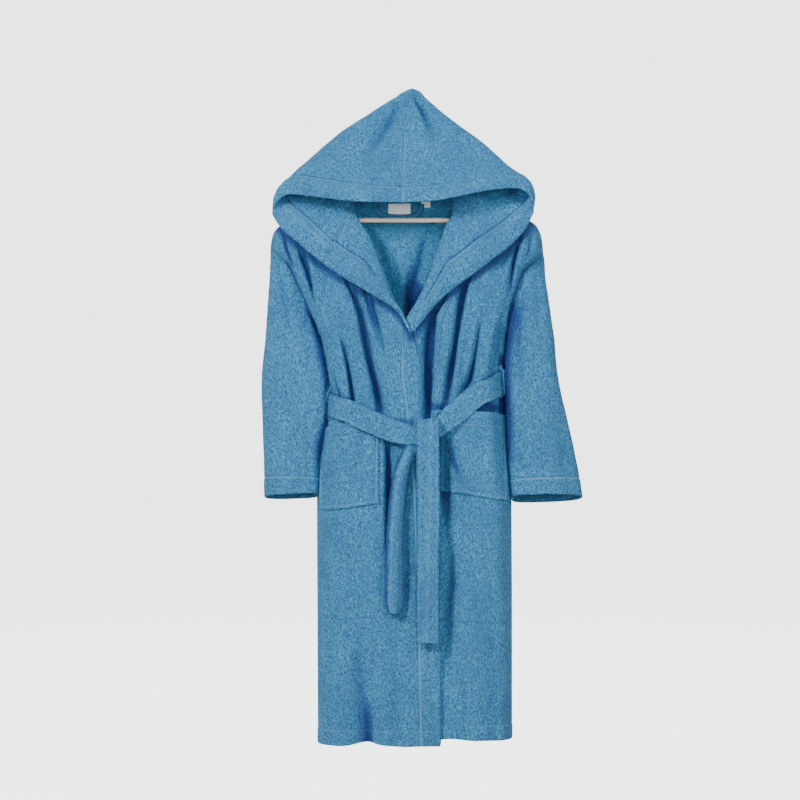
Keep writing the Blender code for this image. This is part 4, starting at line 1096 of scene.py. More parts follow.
sleeveFolds = {
    "right": [
        fold((-262, -300, 7, 0), (-252, -345, 10, 7), (-240, -420, 13, 7), (-232, -500, 12, 0)),
        fold((-222, -380, 8, 3), (-212, -430, 10, 9), (-205, -500, 12, 7), (-204, -590, 14, 0)),
        fold((-268, -520, 12, 0), (-262, -600, 16, 5), (-258, -700, 16, 4), (-256, -760, 14, 2)),
        fold((-236, -560, 12, 0), (-228, -640, 15, 5), (-222, -740, 14, 4)),
        fold((-200, -600, 8, 0), (-200, -680, 10, 5), (-204, -760, 10, 3)),
    ],
    "left": [
        fold((243, -310, 7, 0), (238, -350, 9, 7), (240, -420, 12, 6), (246, -500, 13, 0)),
        fold((214, -380, 8, 3), (208, -430, 10, 9), (208, -500, 12, 7), (214, -600, 14, 0)),
        fold((262, -520, 12, 0), (276, -610, 16, 5), (294, -700, 16, 6), (304, -760, 14, 3)),
        fold((232, -560, 12, 0), (244, -650, 15, 6), (256, -760, 14, 4)),
        fold((206, -600, 8, 0), (210, -690, 10, 6), (218, -760, 10, 3)),
    ],
}
sleeveBackFolds = {
    "right": [
        fold((-250, -340, 9, 2), (-240, -460, 13, 8), (-236, -600, 15, 5), (-240, -760, 15, 3)),
        fold((-212, -400, 9, 2), (-208, -520, 12, 8), (-206, -700, 14, 4)),
    ],
    "left": [
        fold((236, -340, 9, 2), (240, -460, 13, 8), (262, -600, 15, 6), (284, -760, 15, 4)),
        fold((208, -400, 9, 2), (214, -520, 12, 8), (230, -720, 14, 5)),
    ],
}

lapel = {
    "rollRadius": 2.6,
    "belly": 6.5,
    "freeStand": 9.0,
    "edgeZone": 62.0,
    "bandWidth": 45.0,
    "seamWidth": 11.0,
    "fullWidth": 78.0,
    "fromPart": 0.80,
    "toPart": 0.98,
}


def bandDent(off, width, raise_):
    # two close lines of stitching with a soft ridge between them
    return 1.4 * (groove(off) + groove(off + width)) - raise_ * groove(off + width / 2, width / 3)


def makeLapel(hand, front):
    roll = front["grid"][rowAt(lapel["fromPart"]) : rowAt(lapel["toPart"]) + 1, -1]
    t = np.linspace(0, 1, len(roll))
    free = flatCurve(lapelEdges[hand], t)
    sign = handSign(hand)
    edge = np.linalg.norm(np.gradient(roll, axis=0), axis=1, keepdims=True)
    way = np.gradient(roll, axis=0) / edge
    outX = np.stack([-sign * np.abs(way[:, 2]), 0 * t, 0 * t], axis=-1)
    radius = lapel["rollRadius"]
    columns = []
    for degrees in (0, 40, 90, 140):
        angle = math.radians(degrees)
        columns.append(roll + outX * radius * math.sin(angle) + np.array([0.0, -radius * (1 - math.cos(angle)), 0.0]))
    width = np.linalg.norm((free - roll)[:, [0, 2]], axis=1)
    band, seam = lapel["bandWidth"], lapel["seamWidth"]
    narrow = np.minimum(1.0, width / lapel["fullWidth"])
    inset = stations(0, lapel["edgeZone"], 4.2, [band, band - seam])[::-1]
    main = np.linspace(0, 1, 16)[:-1]
    share = edgeShares(main, inset, width, lapel["edgeZone"], narrow) / np.maximum(width[:, None], 1e-6)
    grid = mix(roll[:, None], free[:, None], share[..., None])
    depth = frontDepth(grid[..., 0], grid[..., 2], hand)
    rise = ramp(t, 0, 0.4)[:, None]
    stand = 2 * radius + lapel["belly"] * np.sin(math.pi * share) ** 0.8 * rise
    stand = stand + (lapel["freeStand"] * share) * ramp(t, 0.08, 0.5)[:, None]
    grid[..., 1] = depth - stand
    fromEdge = np.concatenate([np.full(len(main), farAway), inset])
    waves = foldDepth(lapelFolds, grid[..., 0], grid[..., 2], 1.0) * ramp(share, 0.0, 0.3)
    grid[..., 1] += waves
    grid = np.concatenate([np.stack(columns, axis=1), grid], axis=1)
    share = np.concatenate([np.zeros((len(t), 4)), share], axis=1)
    fromEdge = np.concatenate([np.full(4, farAway), fromEdge])
    # painted shade in the lapel's waves, painted light on its ridges
    hollowShade = np.concatenate([np.zeros((len(t), 4)), waves], axis=1)
    out = softened(outwards(grid, np.array([0.0, -1.0, 0.0])), 1)
    off = (fromEdge - band)[None] * narrow[:, None]
    dent = bandDent(off, seam, 0.8) * ramp(t, 0.02, 0.12)[:, None]
    raised = 1.8 * ramp(-off, -1, 1) + 2.6 * np.sin(math.pi * np.clip((band - fromEdge) / band, 0, 1))[None]
    raised = raised + 2.2 * groove(off + seam / 2, 3.6) * ramp(t, 0.3, 0.6)[:, None]
    above = ramp(off, 0, 4)
    fromNeck = ((1 - t) * 118)[:, None]
    dent = dent + 1.8 * groove(off - 2.6, 1.8) + 1.2 * groove(fromNeck - 3, 2) * above
    seen = ramp(t, *((0.42, 0.66) if hand == "right" else (0.16, 0.34)))[:, None]
    dent = dent * seen
    # painted shadow lines along the band's stitching and along the neck seam
    hollowShade = hollowShade + 14 * groove(off - 2.8, 2.0) * seen + 8 * groove(fromNeck - 3, 2.0) * above
    stitched = 0.6 * groove(off + 1, 1.5) + 0.45 * groove(off + seam, 1.5) + 0.15 * groove(off + seam / 2, 4.0)
    fields = {"hollowShade": hollowShade, "seam": stitched * seen + 0.5 * groove(fromNeck - 6, 1.5) * above}
    piece = {"grid": grid, "out": out, "thick": clothThick + 0.5 * raised, "fields": fields}
    rumple(piece, panel, seeds["lapel"][hand], calm=ramp(share, 0, 0.2))
    piece["grid"] += out * (raised / 2 - dent)[..., None]
    piece["line"] = nearest(fromEdge - band)
    piece["sewnFrom"] = int(len(t) * (0.62 if hand == "right" else 0.3))
    return piece


lapelFolds = [
    fold((-90, -215, 8, 0), (-78, -260, 12, -3), (-60, -310, 12, -2), (-48, -340, 10, 0)),
    fold((60, -215, 8, 0), (62, -255, 12, -3), (50, -310, 12, -2), (36, -350, 10, 0)),
    fold((-150, -300, 12, 0), (-120, -330, 16, -2), (-80, -352, 14, 0)),
    fold((140, -290, 12, 0), (112, -322, 16, -2), (76, -350, 14, 0)),
]

hood = {
    "swell": 9.0,
    "arch": 13.0,
    "bandWidth": 37.0,
    "seamWidth": 11.0,
    "seamStep": 3.2,
    "bandGrow": 0.25,
    "edgeStep": 5.6,
    "edgeZone": 60.0,
    "halfWidth": 260.0,
}
canopyFolds = [
    fold((-24, -12, 8, 4), (-42, -45, 14, 8), (-72, -92, 18, 6), (-110, -135, 20, 0)),
    fold((8, -8, 5, 5), (20, -22, 7, 9), (34, -58, 10, 6), (42, -104, 12, 3), (46, -150, 14, 0)),
    fold((-10, -30, 6, -1), (-14, -90, 9, -2), (-17, -150, 9, -1)),
    fold((60, -60, 12, 0), (100, -105, 18, 4), (140, -140, 18, 0)),
    fold((-200, -175, 12, 0), (-150, -182, 16, -3), (-90, -190, 16, -2), (-30, -192, 14, 0)),
    fold((190, -168, 12, 0), (140, -172, 16, -3), (80, -186, 16, -2), (10, -190, 14, 0)),
]
hoodBackFolds = [
    fold((-60, -60, 12, 0), (-84, -110, 16, 7), (-100, -160, 14, 4)),
    fold((50, -60, 12, 0), (66, -100, 16, 7), (74, -140, 14, 4)),
    fold((-17, -60, 8, 2), (-17, -130, 10, 4), (-17, -195, 9, 2)),
]


def makeHood(hand, back, front, turned):
    sign = handSign(hand)
    top = back["grid"][-1, back["neck"]]
    middle = back["neckHalf"] - 1
    neck = top[middle::-1] if hand == "right" else top[middle:]
    neck = neck.copy()
    neck[1:-1, 2] += 0.5
    neck[-1, 2] += clothThick
    onward = slice(rowAt(lapel["toPart"]) + 1, -1)
    over = front["grid"][onward, -1] + hood["edgeStep"] * front["out"][onward, -1]
    lapelTop = turned["grid"][-1, 4:]
    sewn = np.concatenate([neck, over[::-1], lapelTop])
    steps = np.cumsum(np.linalg.norm(np.diff(sewn, axis=0), axis=1))
    neckPart = steps[len(neck) - 2] / steps[-1]
    sewnCurve = lineCurve(sewn)
    crease = lambda at: spaceCurve(hoodFolds[hand], at)
    seam = lambda at: spaceCurve(hoodSeamFront, at)
    seamBack = lambda at: spaceCurve(hoodSeamBack, at)
    free = lambda at: spaceCurve(hoodEdges[hand], at)

    def turnedEdge(at):
        line = spaceCurve(hoodTurnedEdges[hand], at)
        end = sewn[-1]
        line = line + (end - spaceCurve(hoodTurnedEdges[hand], np.ones(1))[0]) * ramp(at, 0.5, 1.0)[..., None]
        line[..., 1] = np.minimum(line[..., 1], end[1] - 1.0 * (1 - at))
        return line

    band, seamWidth = hood["bandWidth"], hood["seamWidth"]
    edgeZone, halfWidth = hood["edgeZone"], hood["halfWidth"]
    inset = stations(0, edgeZone, 4.4, [band, band - seamWidth])[::-1]
    main = np.linspace(0, 1, 60)[:-1]
    main = np.unique(np.concatenate([main, [0.003, 0.007, 0.012, 0.025]]))
    beforeS = stations(0, 1000, 22, [hood["seamStep"] / halfWidth * 1000]) / 1000
    behindS = np.unique(np.concatenate([np.linspace(0, 1, 62), [0.004, 0.01, 0.985, 0.993]]))

    def shares(lengths, wider):
        start = 1 - edgeZone * wider / lengths
        edge = 1 - inset[:, None] * wider / lengths[None]
        return np.concatenate([main[:, None] * start[None], edge], axis=0)

    tBefore = shares(232 + 95 * np.sin(math.pi / 2 * beforeS), 1 + 0 * beforeS)
    tBehind = shares(327 + 0 * behindS, 1 + hood["bandGrow"] * ramp(behindS, 0, 0.6))
    sBefore = np.broadcast_to(beforeS[None], tBefore.shape)
    sBehind = np.broadcast_to(behindS[None], tBehind.shape)
    peak = lambda s: mix(seam(np.zeros(1)), crease(np.zeros(1)), s[..., None])
    before = coons(peak, free, seam, crease, sBefore, tBefore)
    down = np.sin(math.pi * np.minimum(tBefore * 0.62, 1))
    before[..., 1] -= hood["swell"] * np.sin(math.pi * sBefore) ** 0.65 * down
    behind = coons(seamBack, turnedEdge, crease, sewnCurve, sBehind, tBehind)
    upper = ramp(tBehind, 0, 0.1) * (1 - ramp(tBehind, neckPart - 0.1, neckPart + 0.02))
    behind[..., 1] += hood["arch"] * np.sin(math.pi * sBehind) ** 0.7 * upper
    lower = ramp(tBehind, 0.45, 0.7) * (1 - ramp(tBehind, 0.9, 1.0))
    behind[..., 1] += 9.0 * np.exp(-(((sBehind - 0.10) / 0.10) ** 2)) * ramp(sBehind, 0, 0.08) * lower
    x, z = behind[..., 0], behind[..., 2]
    shoulder = shoulderHeight(x, hand)
    limit = panelDepth(x, z, hand, "front") - 5.6 - 6.5 * ramp(z, shoulder - 60, shoulder - 20)
    limit = mix(behind[..., 1], limit, ramp(tBehind, neckPart, neckPart + 0.03) * (1 - ramp(sBehind, 0.97, 1.0)))
    behind[..., 1] = np.minimum(behind[..., 1], limit)
    grid = np.concatenate([before, behind[:, 1:]], axis=1)
    s = np.concatenate([sBefore - 1, sBehind[:, 1:]], axis=1)
    t = np.concatenate([tBefore, tBehind[:, 1:]], axis=1)
    columns = len(beforeS)
    grid = np.concatenate([grid[:, :2], softenInside(grid[:, 2:-2], 2), grid[:, -2:]], axis=1)
    out = outwards(grid[:, :columns], np.array([sign * 0.2, -1.0, 0.2]))
    whole = outwards(grid, np.array([0.0, 0.0, 1.0]))
    if np.sum(whole[:, :columns] * out) < 0:
        whole = -whole
    out = softened(whole, 1)
    canopy = (s < 0) * ramp(-s, 0.0, 0.1)
    pressed = foldDepth(canopyFolds, grid[..., 0], grid[..., 2], 1.5) * canopy * ramp(t, 0, 0.03)
    rear = (s > 0) * ramp(s, 0.02, 0.15) * (1 - ramp(s, 0.85, 1.0)) * (1 - ramp(t, neckPart - 0.1, neckPart))
    pressed = pressed + foldDepth(hoodBackFolds, grid[..., 0], grid[..., 2], 1.0) * rear * ramp(t, 0, 0.06)
    grid -= out * pressed[..., None]
    fromEdge = np.concatenate([np.full(len(main), farAway), inset])[:, None] + 0 * s
    off = fromEdge - band
    upperOff = off - mix(3.6, 2.8, ramp(s, -0.1, 0.1))
    above = ramp(off, 0, 4)
    upper = 2.0 * groove(upperOff, 1.8)
    endOff = (1 - s) * 150 - 3
    inSeam = (t > neckPart) * (s > 0)
    dent = np.where(s < 0, -1.5 * groove(off, 1.9), 1.4 * groove(off)) + upper
    dent = dent + 1.2 * groove(endOff, 2) * inSeam * above
    raised = 1.6 * ramp(-off, -1, 1) + 2.4 * np.sin(math.pi * np.clip((band - fromEdge) / band, 0, 1))
    raised = raised + 2.4 * groove(off + seamWidth / 2, 3.6) * (s > 0)
    seamOff = (s + 1) * halfWidth - hood["seamStep"]
    dent = dent + 1.1 * groove(seamOff) * (s < 0)
    face = np.where(s < 0, 1.0, -ramp(t, neckPart, neckPart + 0.05))
    stitched = np.maximum(groove(off, 1.5) * mix(1, 0.6, s > 0), 0.8 * groove(seamOff, 0.9) * (s < 0))
    stitched = np.maximum(stitched, 0.5 * groove(endOff - 3, 1.5) * inSeam * above)
    second = 0.45 * groove(off + seamWidth, 1.5) + 0.15 * groove(off + seamWidth / 2, 4.0)
    stitched = np.maximum(stitched, second * (s > 0))
    # painted shade in the hood's corner, on the turned inner face
    corner = (-228.0, -191.0) if hand == "right" else (190.0, -186.0)
    aside = grid[..., 0] - corner[0]
    away = np.hypot(aside / 20, (grid[..., 2] - corner[1] - 0.22 * sign * aside) / 7)
    dark = 15 * np.exp(-(away**2)) * (s > 0)
    # painted shadow lines along the band's stitching, the centre seam and the neck seam
    hollowShade = pressed + 13 * groove(upperOff, 1.9)
    if hand == "right":
        hollowShade = hollowShade + 8 * groove(seamOff - 3, 1.6) * (s < 0)
    hollowShade = hollowShade + 8 * groove(endOff, 2.0) * inSeam * above
    inner = np.where(s > 0, np.maximum(hollowShade - pressed, dark), 0)
    fields = {"hollowShade": (np.where(s < 0, hollowShade, pressed), inner), "seam": stitched}
    piece = {"grid": grid, "out": out, "thick": clothThick + 0.6 * raised, "fields": fields}
    calm = ramp(t, 0, 0.05) * ramp(1 + s, 0, 0.05) * (1 - ramp(s, 0.94, 1.0))
    rumple(piece, panel, seeds["hood"][hand], calm=calm)
    piece["grid"] += out * ((raised / 2 - dent) * face)[..., None]
    piece["row"] = nearest(fromEdge[:, 0] - band)
    piece["columns"] = columns
    return piece


def softenInside(grid, times):
    # evens a grid out, its first and last rows and columns held
    for _ in range(times):
        inner = (grid[:-2, 1:-1] + grid[2:, 1:-1] + grid[1:-1, :-2] + grid[1:-1, 2:] + 4 * grid[1:-1, 1:-1]) / 8
        grid = grid.copy()
        grid[1:-1, 1:-1] = inner
    return grid


def treeOf(piece):
    # outer skin of a piece, for laying other pieces on it
    skin = piece["grid"] + piece["out"] * (np.broadcast_to(piece["thick"], piece["grid"].shape[:2])[..., None] / 2)
    rows, columns = skin.shape[:2]
    quads = gridQuads(np.arange(rows * columns).reshape(rows, columns))
    return BVHTree.FromPolygons(skin.reshape(-1, 3).tolist(), quads.tolist())


def skinDepth(tree, x, z, fallback, start=-400.0, way=1.0):
    depth = np.array(np.broadcast_to(fallback, np.shape(x)), float)
    for place in np.ndindex(np.shape(x)):
        hit = tree.ray_cast(Vector((x[place], start, z[place])), Vector((0.0, way, 0.0)))[0]
        if hit:
            depth[place] = hit[1]
    return depth


pocket = {
    "width": 120.0,
    "length": 160.0,
    "hemWidth": 24.0,
    "full": 7.0,
    "edgeInset": 5.0,
    "seat": 2.4,
}
pocketSides = {
    "right": {
        "bottom": table("part across height", (0, -176, -789), (0.35, -140, -787), (0.7, -98, -781), (1, -64, -776)),
        "top": table("part across height", (0, -178, -640), (0.3, -147, -632), (0.65, -98, -622), (1, -61, -612)),
        "start": table("part across height", (0, -176, -789), (0.5, -178, -710), (1, -178, -640)),
        "end": table("part across height", (0, -64, -776), (0.5, -64, -690), (1, -61, -612)),
    },
    "left": {
        "bottom": table("part across height", (0, 55, -753), (0.35, 100, -758), (0.7, 143, -766), (1, 183, -772)),
        "top": table("part across height", (0, 57, -601), (0.35, 98, -604), (0.7, 142, -606), (1, 181, -612)),
        "start": table("part across height", (0, 55, -753), (0.5, 55, -680), (1, 57, -601)),
        "end": table("part across height", (0, 183, -772), (0.5, 182, -690), (1, 181, -612)),
    },
}
pocketFolds = {
    "right": [
        fold((-150, -640, 9, 4), (-134, -690, 12, 5), (-126, -750, 12, 0)),
        fold((-92, -640, 8, 3), (-96, -700, 12, 5), (-98, -760, 12, 0)),
    ],
    "left": [
        fold((66, -648, 5, 6), (74, -678, 6, 13), (83, -712, 6, 13), (97, -745, 5, 5), crisp=-1),
        fold((130, -620, 9, 3), (128, -680, 13, 5), (126, -740, 12, 0)),
    ],
}


def makePocket(hand, front):
    # a patch on the front's skin, standing open a little along its top
    width, length, edgeInset = pocket["width"], pocket["length"], pocket["edgeInset"]
    down = stations(0, length, 3.6, [pocket["hemWidth"]])
    across = stations(0, width, 3.6, [edgeInset, width - edgeInset])
    t = np.broadcast_to((1 - down / length)[:, None], (len(down), len(across)))
    s = np.broadcast_to((across / width)[None], t.shape)
    lines = [pocketSides[hand][name] for name in ("bottom", "top", "start", "end")]
    grid = coons(*[(lambda at, rows=rows: flatCurve(rows, at)) for rows in lines], s, t)
    x, z = grid[..., 0], grid[..., 2]
    base = skinDepth(treeOf(front), x, z, 0.0)
    base = np.where(base == 0.0, frontDepth(x, z, hand) - 2, base)
    smooth = softened(base[..., None], 14)[..., 0]
    rim = np.minimum(np.minimum(s, 1 - s) * width, t * length)
    top = np.minimum(base, mix(base, smooth, ramp(rim, 0, 14)))
    middle = np.sin(math.pi * s) ** 0.7
    lift = pocket["full"] * middle * ramp(t, 0, 0.4) * mix(1, 1.25, ramp(t, 0.8, 1.0))
    pressed = foldDepth(pocketFolds[hand], x, z, 1.0)
    grid[..., 1] = top - pocket["seat"] - np.maximum(lift - pressed, 0)
    out = softened(outwards(grid, np.array([0.0, -1.0, 0.0])), 1)
    hemOff = down[:, None] - pocket["hemWidth"] + 0 * s
    sideOff = np.minimum(np.abs(across - edgeInset), np.abs(width - edgeInset - across))[None] + 0 * s
    footOff = np.abs(t * length - edgeInset)
    dent = 1.2 * np.maximum(groove(hemOff), np.maximum(groove(sideOff), groove(footOff)))
    thick = clothThick + 1.2 * ramp(-hemOff, -1, 1)
    # painted shade in the pocket's folds and beside the belt
    hollowShade = np.maximum(pressed, beltShade(x, z, hand) * (1 if hand == "right" else 0.7))
    piece = {"grid": grid, "out": out, "fields": {"hollowShade": hollowShade, "seam": 0.7 * dent / 1.2}}
    rumple(piece, panel, seeds["pocket"][hand], calm=0.8 * ramp(rim, 0, 16))
    sewIn(piece, thick, dent)
    piece["hemRow"] = nearest(down - pocket["hemWidth"])
    piece["left"] = nearest(across - edgeInset)
    piece["right"] = nearest(across - width + edgeInset)
    piece["foot"] = int(np.argmin(footOff[:, 0]))
    return piece


belt = {
    "width": 40.0,
    "thick": 4.8,
    "edgeInset": 4.5,
    "ends": (0.045, 0.955),
}


def bodyRing(part, height):
    # a point of the smooth body at a share round it, from the knot to the right, back and left
    knotAcross = 30.0
    if 0.25 < part < 0.75:
        share = (part - 0.25) / 0.5
        right, left = sideAcross(height, "right"), sideAcross(height, "left")
        across = right + (left - right) * (0.5 - 0.5 * math.cos(math.pi * share))
        hand, face = "right" if share < 0.5 else "left", "back"
    else:
        hand, face = ("right" if part <= 0.25 else "left"), "front"
        share = min(part, 1 - part) / 0.25
        side = sideAcross(height, hand)
        across = side + (knotAcross - side) * (1 - share) ** 1.5
    return np.array([float(across), float(panelDepth(across, height, hand, face)), float(height)])


def beltPoint(part):
    part = min(max(part, 0.0), 1.0)
    return bodyRing(part, float(follow(beltRun, "height", part)))


def beltFrame(part):
    # point, outward and upward direction of the belt's line
    way = beltPoint(part + 0.006) - beltPoint(part - 0.006)
    way /= np.linalg.norm(way)
    point = beltPoint(part)
    out = np.cross(np.array([0.0, 0.0, 1.0]), way)
    out /= np.linalg.norm(out)
    if np.dot(out, point - np.array([0.0, -8.0, point[2]])) < 0:
        out = -out
    up = np.cross(way, out)
    return point, out, up if up[2] > 0 else -up


def stripPiece(centres, widths, outs, half, thick, seed, lines=(), step=3.2, crush=0.8, seams=1.2):
    # a flat strip of cloth along a path, with stitching lines at set distances from its middle
    centres, widths, outs = [np.asarray(v, float) for v in (centres, widths, outs)]
    half = np.broadcast_to(half, len(centres)).astype(float)
    full = half.max()
    across = stations(-full, full, step, list(lines)) / full
    grid = centres[:, None] + widths[:, None] * (across[None] * half[:, None])[..., None]
    out = np.repeat(outs[:, None], len(across), axis=1)
    off = across * full
    dent = np.zeros(len(across))
    for line in lines:
        dent = np.maximum(dent, seams * groove(off - line, 1.2))
    edge = 1 - 0.35 * ramp(np.abs(off), full - 5, full)
    piece = {"grid": grid, "out": out, "fields": {"seam": (0.4 * dent / seams)[None] + 0 * grid[..., 0]}}
    rumple(piece, {"lumpSizes": (24.0, 9.0), "lumpHeights": (crush, crush * 0.5)}, seed)
    piece["thick"] = (thick * edge - dent)[None] + 0 * grid[..., 0]
    piece["columns"] = [nearest(off - line) for line in lines]
    return piece


def alongPath(rows, at):
    # reads a table of a hanging strip: place, turn about the vertical, half width
    share = np.asarray(at, float)
    place = spaceCurve(rows, share)
    turn = np.radians(follow(rows, "turn", share))
    tip = np.radians(follow(rows, "tip", share))
    width = np.stack([np.cos(turn) * np.cos(tip), np.sin(turn), -np.cos(turn) * np.sin(tip)], axis=-1)
    way = np.gradient(place, axis=0)
    way /= np.linalg.norm(way, axis=1, keepdims=True)
    out = np.cross(width, way)
    out /= np.linalg.norm(out, axis=1, keepdims=True)
    out = np.where(np.sum(out * np.roll(out, 1, axis=0), axis=1, keepdims=True) < -0.5, -out, out)
    return place, width, out, follow(rows, "half", share)


def makeBelt():
    parts = np.linspace(belt["ends"][0], belt["ends"][1], 300)
    frames = [beltFrame(part) for part in parts]
    stand = follow(beltStand, "gap", np.minimum(parts, 1 - parts))
    point, out, up = [np.array([f[k] for f in frames]) for k in range(3)]
    centres = point + out * (cloth / 2 + stand + belt["thick"] / 2)[:, None]
    starts = np.array([[4.0, -81.0, -652.0], [50.0, -81.0, -639.0]])
    centres = np.concatenate([[[16.0, -80.0, -651.0], starts[0]], centres, [starts[1], [38.0, -80.0, -645.0]]])
    up = np.concatenate([[[0.1, 0, 1.0], [0.2, 0, 0.98]], up, [[-0.3, 0, 0.95], [-0.2, 0, 0.98]]])
    out = np.concatenate([[[0, -1.0, 0]] * 2, out, [[0, -1.0, 0]] * 2])
    up /= np.linalg.norm(up, axis=1, keepdims=True)
    half = np.concatenate([[14.0, 17.0], np.full(len(parts), belt["width"] / 2), [17.0, 14.0]])
    for _ in range(6):
        for values in (centres, up, out):
            values[1:-1] = (values[:-2] + 2 * values[1:-1] + values[2:]) / 4
        half[1:-1] = (half[:-2] + 2 * half[1:-1] + half[2:]) / 4
    inset = belt["width"] / 2 - belt["edgeInset"]
    return stripPiece(centres, up, out, half, belt["thick"], 81, (-inset, inset), crush=1.0)


# the end that comes over the crossing from behind and hangs in front, from top to hem
frontTail = table(
    "part across depth height turn tip half",
    (0.000, 26, -70, -640, 0, -4, 19),
    (0.020, 27, -70, -628, 0, -4, 20),
    (0.035, 28, -76, -619.5, 0, -4, 20.3),
    (0.055, 28.8, -87, -620, 0, -3, 20.3),
    (0.075, 29.2, -92, -629, 0, -2, 20.3),
    (0.130, 29.5, -93, -655, 1, 0, 20.2),
    (0.180, 30.0, -91, -680, 0, 0, 20.2),
    (0.300, 30.2, -89, -733, -2, 0, 20.3),
    (0.450, 30.6, -88, -798, -3, 0, 20.4),
    (0.650, 30.4, -87, -886, -2, 0, 20.5),
    (0.850, 30.0, -86, -974, 1, 0, 20.5),
    (1.000, 30.4, -85, -1039, 3, 0, 20.6),
)
# the narrow end that comes out under the crossing, twisted
backTail = table(
    "part across depth height turn tip half",
    (0.000, 8, -72, -648, 10, 30, 12),
    (0.060, 2, -74, -668, 14, 28, 13),
    (0.130, -8, -76, -690, 18, 22, 14),
    (0.220, -18, -76, -720, 22, 14, 16),
    (0.350, -25, -75.5, -765, 24, 6, 17),
    (0.550, -30, -74.5, -832, 22, 2, 17.5),
    (0.750, -32, -74, -900, 16, 0, 17.8),
    (0.930, -32, -73, -962, 12, 0, 17.8),
    (1.000, -32, -72.5, -984, 12, 0, 13),
)


def makeTail(rows, seed, count, thick, hem):
    at = np.linspace(0, 1, count)
    length = abs(rows["height"][-1] - rows["height"][0]) + 26
    place, width, out, half = alongPath(rows, at)
    if out[len(out) // 2, 1] > 0:
        out = -out
    inset = belt["width"] / 2 - belt["edgeInset"]
    lines = (-inset, inset) if hem else (-9.0, 9.0)
    piece = stripPiece(place, width, out, half, thick, seed, lines, crush=0.9)
    across = np.linspace(-1, 1, piece["grid"].shape[1])[None]
    if hem:
        wave = np.sin(across * 9.0 + 2.2 * at[:, None])
        ribs = 1.1 * wave * ramp(at, 0.0, 0.1)[:, None]
        piece["grid"] += piece["out"] * ribs[..., None]
        # painted highlight on the ribs' crests
        piece["fields"]["seam"] = 0.35 * ramp(wave, 0.55, 1.0)
        # painted shade along the edges and in the ribs' troughs
        piece["fields"]["hollowShade"] = 8 * ramp(np.abs(across), 0.86, 1.0) + 4 * ramp(-wave, 0.6, 1.0)
    else:
        roll = 6.0 * np.cos(across * math.pi / 2) ** 2
        piece["grid"] += piece["out"] * (roll * ramp(at, 0, 0.2)[:, None] - 2.5)[..., None]
        # painted shade along both edges of the twisted end
        dark = 14 * (1 - ramp(across, -1.0, -0.7)) + 12 * ramp(across, 0.3, 1.0)
        piece["fields"]["hollowShade"] = dark + 0 * at[:, None]
    return piece


def makeLoop(part, seed):
    # a narrow strip that stands off the side seam and holds the belt
    point, out, up = beltFrame(part)
    along = np.cross(up, out)
    over = cloth / 2 + float(follow(beltStand, "gap", min(part, 1 - part))) + belt["thick"] + 3.2
    seat = cloth / 2 + 2.2
    route = np.array([(33, seat), (29, seat), (25, seat + 2), (22.5, over), (12, over + 0.6), (0, over + 0.8)]
        + [(-12, over + 0.6), (-21.5, over), (-24.5, seat + 3), (-27, seat), (-28, seat)])
    at = np.linspace(0, 1, 60)
    fine = lineCurve(np.concatenate([route, np.zeros((len(route), 1))], axis=1))(at)[:, :2]
    centres = []
    for w, n in fine:
        height = point[2] + w * up[2]
        ring = bodyRing(part, height)
        base = mix(point + up * w, ring, ramp(abs(w), 20, 28))
        centres.append(base + out * n)
    centres = np.array(centres)
    way = np.gradient(centres, axis=0)
    outs = np.cross(way, along)
    outs /= np.linalg.norm(outs, axis=1, keepdims=True)
    outs = np.where(outs @ out[:, None] > 0, outs, -outs)
    along = np.repeat(along[None], len(at), 0)
    return stripPiece(centres, along, outs, 5.0, 2.4, seed, (-3.2, 3.2), step=1.6, crush=0.3, seams=0.5)


def makeHangingLoop(back):
    # a narrow strip sewn in at the back neck seam, in front of the label
    low = neckLow[2]
    route = np.array([(-70, 2), (-69, -5), (-67, -10), (-63, -15), (-55, -19.5), (-40, -22), (-20, -22.5), (0, -21.5),
        (8, -19), (14, -14.5), (17, -9), (18, -5), (19, 2)], float)
    line = lineCurve(np.stack([route[:, 0], 0 * route[:, 0], low + route[:, 1]], axis=-1))(np.linspace(0, 1, 110))
    depth = skinDepth(back, line[:, 0], line[:, 2], 10.0)
    line[:, 1] = np.minimum(softened(depth[:, None, None], 12)[:, 0, 0], depth) - 4.2
    way = np.gradient(line, axis=0)
    way /= np.linalg.norm(way, axis=1, keepdims=True)
    widths = np.stack([-way[:, 2], 0 * way[:, 0], way[:, 0]], axis=-1)
    outs = np.cross(widths, way)
    outs = np.where(outs[:, 1:2] < 0, outs, -outs)
    piece = stripPiece(line, widths, outs, 4.4, 2.4, 91, (-2.9, 2.9), step=1.4, crush=0.3, seams=0.5)
    aside = np.linalg.norm(piece["grid"] - piece["grid"].mean(axis=1, keepdims=True), axis=-1)
    # painted light on the loop's middle, painted dark outlines along its edges
    piece["fields"]["hollowShade"] = -6.0 + 22 * ramp(aside, 2.6, 4.2)
    return piece


def makeLabel(back, middle, top, size, seed):
    width, length = size
    rows = np.linspace(0, 1, 14)
    across = np.linspace(-0.5, 0.5, 22)
    x = middle + width * across[None] + 0 * rows[:, None]
    z = top - length * rows[:, None] + 0 * across[None]
    depth = skinDepth(back, x, z, 10.0)
    bend = 1.2 * np.sin(rows[:, None] * 2.4 + across[None] * 3)
    flat = softened(np.minimum(depth, depth.mean())[..., None], 8)[..., 0] - 1.4 - bend * rows[:, None]
    grid = np.stack([x, np.minimum(flat, depth - 1.0), z], axis=-1)
    out = outwards(grid, np.array([0.0, -1.0, 0.0]))
    return {"grid": grid, "out": out, "thick": 0.7 + 0 * x}


